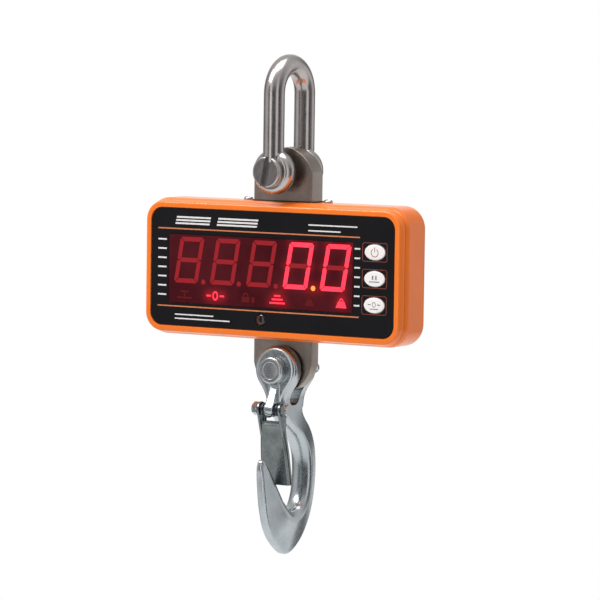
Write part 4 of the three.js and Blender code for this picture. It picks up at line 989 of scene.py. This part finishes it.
def make_small_parts():
    """The battery door: a rolled plate on a smaller step with two raised grips; and the rubber
    cap of the charging socket, a turned disc with a grooved edge."""
    z = CASE_Z
    holes = [ellipse(DOOR_X + s * DOOR_SCREW_X, z, 1.6, 1.6, 32) for s in (-1, 1)]
    door = object_of("battery_door_moulded", plate(
        rounded_rect(DOOR_X, z, 25.6, 26.6, 2.7), BACK_Y - 1.0, BACK_Y - 0.25, "y",
        holes=holes, bevel=0.2))
    welded(door, plate(rounded_rect(DOOR_X, z, 18.6, 23.6, 1.7), BACK_Y - WALL + 0.4,
                       BACK_Y - 0.5, "y"))
    grips = [plate(rounded_rect(DOOR_X, z + 14 + 2.4 * i, 11, 0.7, 0.69, 6), BACK_Y - 0.5, BACK_Y,
                   "y", bevel=0.2) for i in range(4)]
    welded(door, *grips)
    finished(door, "enamel_orange_gloss", "scale", "orange_enamel", "battery_door", crease=15)
    low, high = box_mm("socket_cap")
    r = (high[0] - low[0]) / 2
    cap = lathe([(0.01, low[2] + 0.15), (r * 0.55, low[2] + 0.1), (r * 0.62, low[2] + 0.35),
                 (r * 0.7, low[2] + 0.05), (r - 0.35, low[2]), (r, low[2] + 0.4),
                 (r, high[2] - 0.15), (r - 0.15, high[2]), (0.01, high[2])], "z",
                (SOCKET_X, SOCKET_Y, 0), 72)
    finished(object_of("socket_cap_moulded", cap), "nitrile_black_moulded", "scale",
             "black_rubber", "socket_cap")


# ---------------------------------------------------------------- hook
# From tip to neck: inner point, outer point (Y, Z below the shackle pin), half-widths of the
# inner side and of the outer edge.
HOOK_STATIONS = np.array([
    (-27.6, -181.6, -30.2, -182.6, 1.9, 1.6), (-26.2, -183.4, -30.9, -187.0, 2.5, 2.0),
    (-22.5, -187.2, -30.0, -193.5, 3.0, 2.7), (-17.7, -192.2, -28.9, -202.0, 3.4, 2.9),
    (-13.4, -197.6, -27.7, -209.5, 3.9, 3.0), (-9.4, -203.2, -25.8, -217.6, 4.6, 3.0),
    (-5.4, -208.8, -21.9, -227.4, 5.6, 3.0), (-1.4, -213.4, -14.0, -236.8, 6.7, 3.0),
    (3.4, -216.2, 0.2, -245.0, 7.4, 3.0), (9.3, -215.4, 15.4, -238.6, 7.6, 2.9),
    (14.2, -210.8, 26.5, -226.5, 7.6, 2.7), (16.8, -203.4, 33.0, -212.4, 7.5, 2.5),
    (17.6, -194.0, 35.6, -195.5, 7.5, 2.5), (16.6, -184.5, 34.6, -181.5, 7.4, 2.6),
    (13.2, -176.6, 30.5, -171.8, 7.2, 3.2), (8.0, -170.6, 24.4, -164.2, 6.9, 4.0),
    (1.4, -165.8, 17.6, -158.8, 6.6, 5.0), (-6.0, -160.2, 13.0, -153.6, 6.3, 5.8),
    (-11.6, -153.6, 12.8, -149.0, 6.2, 6.2), (-12.8, -148.6, 12.9, -145.0, 6.3, 6.3),
])
CROWN = 0.28  # share of the depth over which the inner side is round
TAPER_END = 0.94  # and share at which the straight taper ends
CROWN_STEPS, TAPER_STEPS = 18, 20


def hook_section():
    """Share of depth, of the inner half-width and of the edge's half-width round one side of the
    bar: a quarter ellipse over the crown, a straight taper, and a flat edge with small corners."""
    t = np.linspace(0.06, math.pi / 2, CROWN_STEPS)
    down = np.linspace(CROWN, TAPER_END, TAPER_STEPS)[1:]
    depth = np.concatenate([CROWN * (1 - np.cos(t)), down, [0.98, 1.0]])
    wide = np.concatenate([np.sin(t), np.linspace(1, 0, TAPER_STEPS)[1:], [0, 0]])
    edge = np.concatenate([np.zeros(CROWN_STEPS), np.linspace(0, 1, TAPER_STEPS)[1:], [0.88, 0.6]])
    return depth, wide, edge


EYE_R, EAR_FACE, GAP_HALF = 15.1, 13.8, 6.0  # the eye, the fork's faces and its gap
THROAT, THROAT_R = 23.2, 5  # the gap's floor below the clevis pin, and its corners
BOSS_R, BOSS_HALF, BOLT_R, BOLT_PLAY = 4.8, 3.3, 2.4, 0.4
SPLIT_PIN_Y, SPLIT_WIRE_R = 17.2, 0.58


def hook_bar():
    """The hook's bar: smooth stations along it, each ring running from inner to outer point at
    share depth, with half-width wide * a(depth) + edge * b(depth)."""
    rows = through(HOOK_STATIONS, 7)
    depth, a, b = hook_section()
    inner, outer = rows[:, None, 0:2], rows[:, None, 2:4]
    middle = inner + (outer - inner) * depth[None, :, None]
    half = rows[:, 4:5] * a + rows[:, 5:6] * b
    side = stacked(middle[..., 0], middle[..., 1] + PIN_Z, half, "x")
    other = side[:, ::-1] * [-1, 1, 1]
    return skin(np.concatenate([side, other], 1))


def hook_ear():
    """The eye's outline: a round top on a neck that flares into it."""
    z = CLEVIS_Z
    top = arc(0, z, EYE_R, -0.67, math.pi + 0.67, 72)
    left = through([(-11.84, z - 9.38), (-8.8, z - 14), (-6.9, z - 19), (-6.2, z - 25.2)], 6)[1:]
    return np.concatenate([top, left, (left * [-1, 1])[::-1]])


def make_hook(sizes):
    """Bar, fork, rib and boss melted together like a forging, then machined: the fork's gap, the
    pin hole, the recess beside the boss and the bolt hole."""
    z = CLEVIS_Z
    body = object_of("hook_forged", hook_bar())
    rib = np.array([(-10, z - 9), (-EAR_FACE - 0.6, z - 9.5), (-17.5, LATCH_Z + 8),
                    (LATCH_Y - BOSS_R, LATCH_Z), (LATCH_Y, LATCH_Z),
                    (LATCH_Y + 1, LATCH_Z - BOSS_R), (-10, LATCH_Z - BOSS_R - 1.2)])
    pivot = (0, LATCH_Y, LATCH_Z)
    rib_made = plate(anticlockwise(rib), 0.3 - BOSS_HALF, BOSS_HALF - 0.3, "x")
    parts = [plate(hook_ear(), -EAR_FACE, EAR_FACE, "y", bevel=2.8, steps=8), rib_made,
             cylinder(BOSS_R, -BOSS_HALF, BOSS_HALF, "x", pivot)]
    own = (np.array([v.co for v in body.data.vertices]) / MM,
           [list(p.vertices) for p in body.data.polygons])
    body.data = mesh_of("hook_forged", *merged(own, *parts))
    forged(body, sizes.forging_grain / MM, 5)
    kept_inside(body, "hook_body")
    r, q, throat = THROAT_R, math.pi / 2, z - THROAT
    gap = np.concatenate([arc(-GAP_HALF + r, throat + r, r, math.pi, 3 * q, 10),
                          arc(GAP_HALF - r, throat + r, r, 3 * q, 4 * q, 10),
                          [(GAP_HALF, z + 30), (-GAP_HALF, z + 30)]])
    tools = [plate(gap, -THROUGH, THROUGH, "x"),
             cylinder(CLEVIS_HOLE_R, -THROUGH, THROUGH, "y", (0, 0, z), 64),
             cylinder(BOSS_R, BOSS_HALF, THROUGH, "x", pivot, 64),
             cylinder(BOSS_R, -THROUGH, -BOSS_HALF, "x", pivot, 64),
             cylinder(BOLT_R + BOLT_PLAY, -THROUGH, THROUGH, "x", pivot, 48)]
    for tool in tools:
        bored(body, tool)
    finished(body, "zinc_on_forging", "hook", "zinc_steel", "hook_body", crease=70)


def make_pins():
    """The clevis pin with a ring stamped in its head, and the split pin: one wire of half the
    stem's thickness out along the stem, round the eye and back, its ends bent apart."""
    low, high = box_mm("clevis_pin")
    front, under, end = low[1], low[1] + CLEVIS_HEAD_T, high[1]
    r = high[0]
    profile = [(0, front + 0.3), (r - 3.6, front + 0.25), (r - 3.2, front + 0.05),
               (r - 2.9, front + 0.5), (r - 2.4, front + 0.5), (r - 2.1, front + 0.05)]
    profile += [(r - 1.6, front)] + arc(r - 1.5, front + 1.5, 1.5, -math.pi / 2, 0, 8).tolist()
    profile += [(r, under - 0.4), (r - 0.4, under), (CLEVIS_R, under), (CLEVIS_R, end - 1.2),
                (CLEVIS_R - 1.1, end), (0, end)]
    pin = object_of("clevis_pin_turned", lathe(profile, "y", (0, 0, CLEVIS_Z), 96))
    bored(pin, cylinder(1.6, -20, 20, "x", (0, SPLIT_PIN_Y, CLEVIS_Z), 32))
    finished(pin, "zinc_on_turned_steel", "hook", "zinc_steel", "clevis_pin")
    wire = SPLIT_WIRE_R
    leg = through([(-10, 0.0, 2.2), (-8, 0.0, 1.3), (-6.2, 0.0, 0.66), (-4.5, 0.0, wire + 0.02),
                   (3, 0.0, wire + 0.02), (7.4, 0.0, wire + 0.05), (8.6, 0.0, 1.1)], 8)
    eye = arc(11.2, 0, 2.9, math.pi - 0.42, -math.pi + 0.42, 48)
    eye = np.stack([eye[:, 0], np.zeros(len(eye)), eye[:, 1]], 1)
    path = np.concatenate([leg, eye, leg[::-1] * [1, 1, -1]]) + [0, SPLIT_PIN_Y, CLEVIS_Z]
    finished(object_of("split_pin_bent", sweep(path, wire, 14)), "zinc_on_turned_steel", "hook",
             "zinc_steel", "split_pin")


# ---------------------------------------------------------------- latch
TILT = 0.178  # the closed latch's lean, in radians
PLATE_T = 1.5
CHEEK_R, CHEEK_IN, CHEEK_OUT = 4.6, 7.0, 8.5
COIL_R, COIL_TURNS, SPRING_WIRE_R = 3.5, 2.5, 0.55
LOOP_END, COIL_END = 0.22, 0.8  # shares of the spring's half where its loop and its coil end
HEX_FLATS = 7.6


def tilted(made):
    """Leans a shape drawn round the latch's pivot to the closed latch's angle."""
    turn = np.array(Matrix.Rotation(TILT, 3, "X"))
    return made[0] @ turn.T + [0, LATCH_Y, LATCH_Z], made[1]


def latch_section(half, depth, front):
    """The pressed channel's section as one closed loop: out along the outside of the U with
    round corners and back along its inside, PLATE_T away."""
    q = math.pi / 2
    loops = []
    for inset, r in ((0.0, 2.2), (PLATE_T, 0.7)):
        w, y = half - inset, front + inset
        loops.append(np.concatenate([
            [(-w, front + depth)], arc(-w + r, y + r, r, math.pi, 3 * q, 7),
            arc(w - r, y + r, r, 3 * q, 4 * q, 7), [(w, front + depth)]]))
    return np.concatenate([loops[0], loops[1][::-1]])


def make_latch():
    """The plate's half-width and flange depth follow smooth curves down it; its top is folded
    back over a rounded bend; two cheeks hold the bolt. Half of the spring is a loop across the
    plate, a coil of radius COIL_R round the bolt and a straight leg, and the other half mirrors
    it."""
    front = -2.57
    rows = through([(-7.4, 8.3, 3.8, 1.3), (-8.4, 8.4, 3.8, 0.7), (-9.3, 8.5, 3.8, 0.0),
                    (-10.0, 8.5, 3.8, -0.45), (-11.0, 8.6, 3.8, -0.2), (-13, 8.7, 3.8, 0.0),
                    (-21, 9.5, 3.6, 0.0), (-30, 10.2, 3.4, 0.0), (-40, 10.6, 3.1, 0.0),
                    (-47, 10.8, 2.9, 0.0), (-49, 10.9, 2.8, 0.0)], 5)
    rings = []
    for z, half, depth, fold in rows:
        section = latch_section(half, depth, front)
        web = smooth_step((half - 1.2 - np.abs(section[:, 0])) / 1.5)
        rings.append(stacked(section[:, 0], section[:, 1] + fold * web, z, "z"))
    cheek = anticlockwise(np.concatenate([
        [(-2.5, -17)], arc(0, 0, CHEEK_R, math.pi + 0.3, -0.3, 24), [(1.1, -17)]]))
    sheet = object_of("latch_plate_pressed", tilted(skin(np.stack(rings))))
    holes = [ellipse(0, 0, BOLT_R + BOLT_PLAY, BOLT_R + BOLT_PLAY, 32)]
    for x0, x1 in ((CHEEK_IN, CHEEK_OUT), (-CHEEK_OUT, -CHEEK_IN)):
        welded(sheet, tilted(plate(cheek, x0, x1, "x", holes=holes, bevel=0.2)))
    finished(sheet, "zinc_on_pressed_sheet", "latch", "zinc_steel", "latch_plate", crease=40)

    u = np.linspace(0, 1, 240)
    loop_s = u[u < LOOP_END] / LOOP_END
    lift = np.cos(loop_s * math.pi / 2)
    angle = -math.pi * (1 - 0.2 * lift)
    radius = COIL_R + 2.6 * np.minimum(1, 3 * lift)
    loop = np.stack([4.2 * np.sin(loop_s * math.pi / 2), radius * np.cos(angle),
                     radius * np.sin(angle)], 1)
    coil_s = (COIL_END - u[(u >= LOOP_END) & (u < COIL_END)]) / (COIL_END - LOOP_END)
    angle = -coil_s * COIL_TURNS * TAU
    coil = np.stack([6.1 - 1.9 * coil_s, COIL_R * np.cos(angle), COIL_R * np.sin(angle)], 1)
    leg_s = np.linspace(0, 1, 16)
    leg = np.stack([np.full(16, 6.1), COIL_R - 2.7 * leg_s, -13 * leg_s], 1)
    half = np.concatenate([loop, coil, leg])
    path = np.concatenate([half[:0:-1] * [-1, 1, 1], half])
    spring = object_of("latch_spring_coiled", tilted(sweep(path, SPRING_WIRE_R, 12)))
    finished(spring, "blued_spring_wire", "latch", "spring_steel", "latch_spring")


def hex_shape(flats, x0, x1, chamfer, low_too, bore=0.0, sides=72):
    """A hexagon with its corners turned off: radius at an angle is the smaller of the hexagon's
    own radius and the cone's radius at that height."""
    a = np.linspace(0, TAU, sides, endpoint=False)
    hexr = (flats / 2) / np.cos((a + math.pi / 6) % (math.pi / 3) - math.pi / 6)
    full = flats / math.sqrt(3) + 0.01
    rows = [(x0, full - (chamfer * 1.7 if low_too else 0)), (x0 + (chamfer if low_too else 0), full),
            (x1 - chamfer, full), (x1, full - chamfer * 1.7)]
    rings = [stacked(np.minimum(hexr, r) * np.cos(a), np.minimum(hexr, r) * np.sin(a), x, "x")
             for x, r in rows]
    if bore:
        walls = [(x1, bore + 0.3), (x1 - 0.3, bore), (x0 + 0.3, bore), (x0, bore + 0.3)]
        rings += [stacked(r * np.cos(a), r * np.sin(a), x, "x") for x, r in walls]
        return skin(np.stack(rings), loop=True)
    return skin(np.stack(rings))


def make_bolt():
    """A cylinder with a hexagonal head, and the nut on its other end."""
    bolt = object_of("latch_bolt_turned", cylinder(BOLT_R, -13.6, 9.5, "x", (0, LATCH_Y, LATCH_Z)))
    head, faces = hex_shape(HEX_FLATS, 9, 12.8, 0.6, False)
    welded(bolt, (head + [0, LATCH_Y, LATCH_Z], faces))
    finished(bolt, "zinc_on_turned_steel", "hook", "zinc_steel", "latch_bolt")
    nut, faces = hex_shape(HEX_FLATS, -12.9, -9, 0.5, True, BOLT_R + 0.25)
    nut = object_of("latch_nut_turned", (nut + [0, LATCH_Y, LATCH_Z], faces))
    finished(nut, "zinc_on_turned_steel", "hook", "zinc_steel", "latch_nut")


def paint_kept_parts():
    """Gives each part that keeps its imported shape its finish."""
    for node, material in KEPT_FINISHES.items():
        for place in bpy.data.objects[node].material_slots:
            place.link = "OBJECT"
            place.material = bpy.data.materials[material]


# ---------------------------------------------------------------- studio
def softbox(name, at, aim, size, watts):
    """A rectangular light at a place, facing a point."""
    light = bpy.data.lights.new(name, "AREA")
    light.shape, light.size, light.size_y, light.energy = "RECTANGLE", size[0], size[1], watts
    obj = bpy.data.objects.new(name, light)
    obj.location = at
    obj.rotation_euler = (Vector(aim) - Vector(at)).to_track_quat("-Z", "Y").to_euler()
    bpy.context.scene.collection.objects.link(obj)


# The walls' brightness against direction, in degrees from +X: light panels with gaps between.
WALL_STOPS = (
    (-180, 0.15), (-160, 0.45), (-132, 0.5), (-122, 0.1), (-110, 0.08), (-104, 1.0), (-90, 1.0),
    (-84, 0.14), (-62, 0.06), (-42, 0.1), (-34, 0.8), (-18, 0.65), (-9, 0.05), (24, 0.04),
    (32, 0.45), (60, 0.6), (74, 0.12), (94, 0.1), (108, 0.75), (140, 0.6), (165, 0.12), (180, 0.15),
)


CAMERA_AIM = (12.82, -5.02, -141.74)
LIGHT_AIM = (0, 0, -0.13)  # metres
FLOOR_HALF, FLOOR_R, FLOOR_T = 9000, 2500, 20


def make_studio(stage):
    """A pale floor far below the hanging scale, a ring of light panels and gaps for the steel to
    mirror, plain white behind the scale for the camera, three soft boxes, and the camera."""
    scene = bpy.context.scene
    scene.view_settings.view_transform = "Standard"
    world = bpy.data.worlds.new("studio_walls")
    scene.world = world
    world.use_nodes = True
    tree = world.node_tree
    tree.nodes.clear()
    seen = add(tree, "ShaderNodeTexCoord").outputs["Generated"]
    parts = add(tree, "ShaderNodeSeparateXYZ", {0: seen})
    around = add(tree, "ShaderNodeMath", {0: parts.outputs["Y"], 1: parts.outputs["X"]},
                 operation="ARCTAN2")
    share = add(tree, "ShaderNodeMapRange", {
        "Value": around.outputs[0], "From Min": -math.pi, "From Max": math.pi})
    walls = add(tree, "ShaderNodeValToRGB", {"Fac": share.outputs[0]})
    stops = walls.color_ramp.elements
    for i, (turn, level) in enumerate(WALL_STOPS):
        last = i == len(WALL_STOPS) - 1
        stop = stops[0] if i == 0 else stops[-1] if last else stops.new(turn / 360 + 0.5)
        stop.position, stop.color = turn / 360 + 0.5, (level, level, level, 1)
    above = add(tree, "ShaderNodeMapRange", {
        "Value": parts.outputs["Z"], "From Min": 0.15, "From Max": 0.7, "To Min": 0.0,
        "To Max": 1.0})
    level = add(tree, "ShaderNodeMix", {
        0: above.outputs[0], 6: walls.outputs[0], 7: (0.45, 0.45, 0.45, 1)}, data_type="RGBA")
    lit = add(tree, "ShaderNodeBackground", {
        "Color": level.outputs[2], "Strength": stage.wall_light})
    plain = add(tree, "ShaderNodeBackground", {"Color": (1, 1, 1, 1), "Strength": 1.0})
    straight = add(tree, "ShaderNodeLightPath").outputs["Is Camera Ray"]
    both = add(tree, "ShaderNodeMixShader", {0: straight, 1: lit.outputs[0], 2: plain.outputs[0]})
    add(tree, "ShaderNodeOutputWorld", {"Surface": both.outputs[0]})
    softbox("key_left", (-0.9, -1.2, 1.5), LIGHT_AIM, (1.0, 1.0), stage.key_light)
    softbox("top", (0.1, -0.1, 1.5), LIGHT_AIM, (1.4, 1.0), stage.top_light)
    softbox("rim_right", (1.6, 0.5, 0.2), LIGHT_AIM, (0.5, 1.3), stage.side_light)
    ground = -stage.drop / MM
    floor = object_of("studio_floor", plate(
        rounded_rect(0, 0, FLOOR_HALF, FLOOR_HALF, FLOOR_R, 16), ground - FLOOR_T, ground, "z"))
    floor.data.materials.append(bpy.data.materials["paper_pale_matt"])

    turn, rise, roll = stage.camera_turn, stage.camera_rise, stage.camera_roll
    back = Vector((math.sin(turn) * math.cos(rise), -math.cos(turn) * math.cos(rise), math.sin(rise)))
    across = Vector((math.cos(turn), math.sin(turn), 0))
    upright = back.cross(across)
    right = across * math.cos(roll) + upright * math.sin(roll)
    up = upright * math.cos(roll) - across * math.sin(roll)
    camera = bpy.data.objects.new("camera", bpy.data.cameras.new("camera"))
    camera.data.sensor_width = 36
    camera.data.lens = stage.camera_lens
    camera.data.clip_end = 200
    target = Vector(CAMERA_AIM) * MM
    turned = Matrix((right, up, back)).transposed().to_4x4()
    camera.matrix_world = Matrix.Translation(target + back * stage.camera_distance) @ turned
    scene.collection.objects.link(camera)
    scene.camera = camera


# ---------------------------------------------------------------- add-on
class CraneStage(bpy.types.PropertyGroup):
    """Light and camera of the studio."""

    wall_light: bpy.props.FloatProperty(
        name="Wall light", description="Brightness of the light panels all round", default=1.3,
        min=0)
    key_light: bpy.props.FloatProperty(
        name="Key light", description="Power of the soft box at the left", default=32,
        unit="POWER")
    top_light: bpy.props.FloatProperty(
        name="Top light", description="Power of the soft box overhead", default=15, unit="POWER")
    side_light: bpy.props.FloatProperty(
        name="Side light", description="Power of the soft box at the right", default=0.3,
        unit="POWER")
    drop: bpy.props.FloatProperty(
        name="Floor drop", description="How far the floor lies below the bow", default=4.0,
        unit="LENGTH")
    camera_turn: bpy.props.FloatProperty(
        name="Camera turn", description="Camera's turn to the right of the panel's front",
        default=math.radians(31), subtype="ANGLE")
    camera_rise: bpy.props.FloatProperty(
        name="Camera rise", description="Camera's height as an angle", default=math.radians(4.4),
        subtype="ANGLE")
    camera_roll: bpy.props.FloatProperty(
        name="Camera roll", description="Camera's lean", default=math.radians(0.82),
        subtype="ANGLE")
    camera_distance: bpy.props.FloatProperty(
        name="Camera distance", description="Camera's distance from the scale", default=2.3,
        unit="LENGTH")
    camera_lens: bpy.props.FloatProperty(
        name="Lens", description="Focal length", default=218.0, unit="CAMERA")


class CraneSizes(bpy.types.PropertyGroup):
    """Sizes of the drawn details."""

    digit_width: bpy.props.FloatProperty(
        name="Digit width", description="Width of a digit", default=0.018, unit="LENGTH")
    digit_height: bpy.props.FloatProperty(
        name="Digit height", description="Height of a digit", default=0.0296, unit="LENGTH")
    bar_width: bpy.props.FloatProperty(
        name="Bar width", description="Width of a digit's bar", default=0.0029, unit="LENGTH")
    digit_lean: bpy.props.FloatProperty(
        name="Digit lean", description="How far the digits lean", default=math.radians(9.7),
        subtype="ANGLE")
    forging_grain: bpy.props.FloatProperty(
        name="Forging grain", description="Spacing of the mesh on forged pieces",
        default=0.0005, min=0.0003, max=0.002, unit="LENGTH")


class CraneLook(bpy.types.PropertyGroup):
    """Colours and brightness."""

    case_colour: bpy.props.FloatVectorProperty(
        name="Case", description="Colour of the enamelled case", subtype="COLOR", size=4,
        default=linear("f87a24"), min=0, max=1)
    panel_colour: bpy.props.FloatVectorProperty(
        name="Panel", description="Colour of the printed sheet", subtype="COLOR", size=4,
        default=linear("111115"), min=0, max=1)
    key_colour: bpy.props.FloatVectorProperty(
        name="Keys", description="Colour of the rubber keys", subtype="COLOR", size=4,
        default=linear("f3eeec"), min=0, max=1)
    led_colour: bpy.props.FloatVectorProperty(
        name="Lit bars", description="Colour of the lit bars", subtype="COLOR", size=4,
        default=linear("ff3548"), min=0, max=1)
    led_strength: bpy.props.FloatProperty(
        name="LED strength", description="Brightness of the lit bars", default=1.05, min=0)


def group_of(context):
    """The scene's settings of the crane scale."""
    return context.scene.crane_scale


class CraneSettings(bpy.types.PropertyGroup):
    """All settings of the crane scale."""

    sizes: bpy.props.PointerProperty(type=CraneSizes)
    look: bpy.props.PointerProperty(type=CraneLook)
    stage: bpy.props.PointerProperty(type=CraneStage)


class CRANE_OT_finishes(bpy.types.Operator):
    """Make the materials"""

    bl_idname = "crane.finishes"
    bl_label = "Finishes"

    def execute(self, context):
        make_finishes(group_of(context).look)
        return {"FINISHED"}


class CRANE_OT_shackle(bpy.types.Operator):
    """Build the shackle's bow and pin"""

    bl_idname = "crane.shackle"
    bl_label = "Shackle"

    def execute(self, context):
        make_shackle(group_of(context).sizes)
        return {"FINISHED"}


class CRANE_OT_bar(bpy.types.Operator):
    """Build the load bar and the seals round it"""

    bl_idname = "crane.bar"
    bl_label = "Load bar"

    def execute(self, context):
        make_bar()
        return {"FINISHED"}


class CRANE_OT_casing(bpy.types.Operator):
    """Build the front cover and the rear shell"""

    bl_idname = "crane.casing"
    bl_label = "Casing"

    def execute(self, context):
        make_casing()
        return {"FINISHED"}


class CRANE_OT_window(bpy.types.Operator):
    """Build the red window and the LED bars on it"""

    bl_idname = "crane.window"
    bl_label = "Display"

    def execute(self, context):
        make_window(group_of(context).sizes)
        return {"FINISHED"}


class CRANE_OT_panel(bpy.types.Operator):
    """Build the printed sheet and its inks"""

    bl_idname = "crane.panel"
    bl_label = "Panel"

    def execute(self, context):
        make_panel()
        return {"FINISHED"}


class CRANE_OT_keys(bpy.types.Operator):
    """Build the keys, their marks and the sensor's lens"""

    bl_idname = "crane.keys"
    bl_label = "Keys and lens"

    def execute(self, context):
        make_keys()
        return {"FINISHED"}


class CRANE_OT_fasteners(bpy.types.Operator):
    """Build the casing's screws"""

    bl_idname = "crane.fasteners"
    bl_label = "Screws"

    def execute(self, context):
        make_screws()
        return {"FINISHED"}


class CRANE_OT_small_parts(bpy.types.Operator):
    """Build the battery door and the socket's cap"""

    bl_idname = "crane.small_parts"
    bl_label = "Door and cap"

    def execute(self, context):
        make_small_parts()
        return {"FINISHED"}


class CRANE_OT_hook(bpy.types.Operator):
    """Build the hook, its clevis pin and its split pin"""

    bl_idname = "crane.hook"
    bl_label = "Hook"

    def execute(self, context):
        make_hook(group_of(context).sizes)
        make_pins()
        return {"FINISHED"}


class CRANE_OT_latch(bpy.types.Operator):
    """Build the latch, its spring and its bolt"""

    bl_idname = "crane.latch"
    bl_label = "Latch"

    def execute(self, context):
        make_latch()
        make_bolt()
        return {"FINISHED"}


class CRANE_OT_kept_parts(bpy.types.Operator):
    """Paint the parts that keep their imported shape"""

    bl_idname = "crane.kept_parts"
    bl_label = "Inner parts"

    def execute(self, context):
        paint_kept_parts()
        return {"FINISHED"}


class CRANE_OT_stage(bpy.types.Operator):
    """Set up the studio and the camera"""

    bl_idname = "crane.stage"
    bl_label = "Studio"

    def execute(self, context):
        make_studio(group_of(context).stage)
        return {"FINISHED"}


OPERATORS = (
    CRANE_OT_finishes, CRANE_OT_shackle, CRANE_OT_bar, CRANE_OT_casing, CRANE_OT_window,
    CRANE_OT_panel, CRANE_OT_keys, CRANE_OT_fasteners, CRANE_OT_small_parts, CRANE_OT_hook,
    CRANE_OT_latch, CRANE_OT_kept_parts, CRANE_OT_stage,
)


class CRANE_PT_scale(bpy.types.Panel):
    """Lists the builders and their settings"""

    bl_label = "Crane scale"
    bl_space_type = "VIEW_3D"
    bl_region_type = "UI"
    bl_category = "Crane scale"

    def draw(self, context):
        settings = group_of(context)
        for group in (settings.sizes, settings.look, settings.stage):
            box = self.layout.box()
            for name in group.__annotations__:
                box.prop(group, name)
        for operator in OPERATORS:
            self.layout.operator(operator.bl_idname)


CLASSES = (CraneSizes, CraneLook, CraneStage, CraneSettings, *OPERATORS, CRANE_PT_scale)


def register():
    for cls in CLASSES:
        bpy.utils.register_class(cls)
    bpy.types.Scene.crane_scale = bpy.props.PointerProperty(type=CraneSettings)


def unregister():
    del bpy.types.Scene.crane_scale
    for cls in reversed(CLASSES):
        bpy.utils.unregister_class(cls)


def main():
    register()
    for operator in OPERATORS:
        group, name = operator.bl_idname.split(".")
        getattr(getattr(bpy.ops, group), name)()


if __name__ == "__main__":
    main()
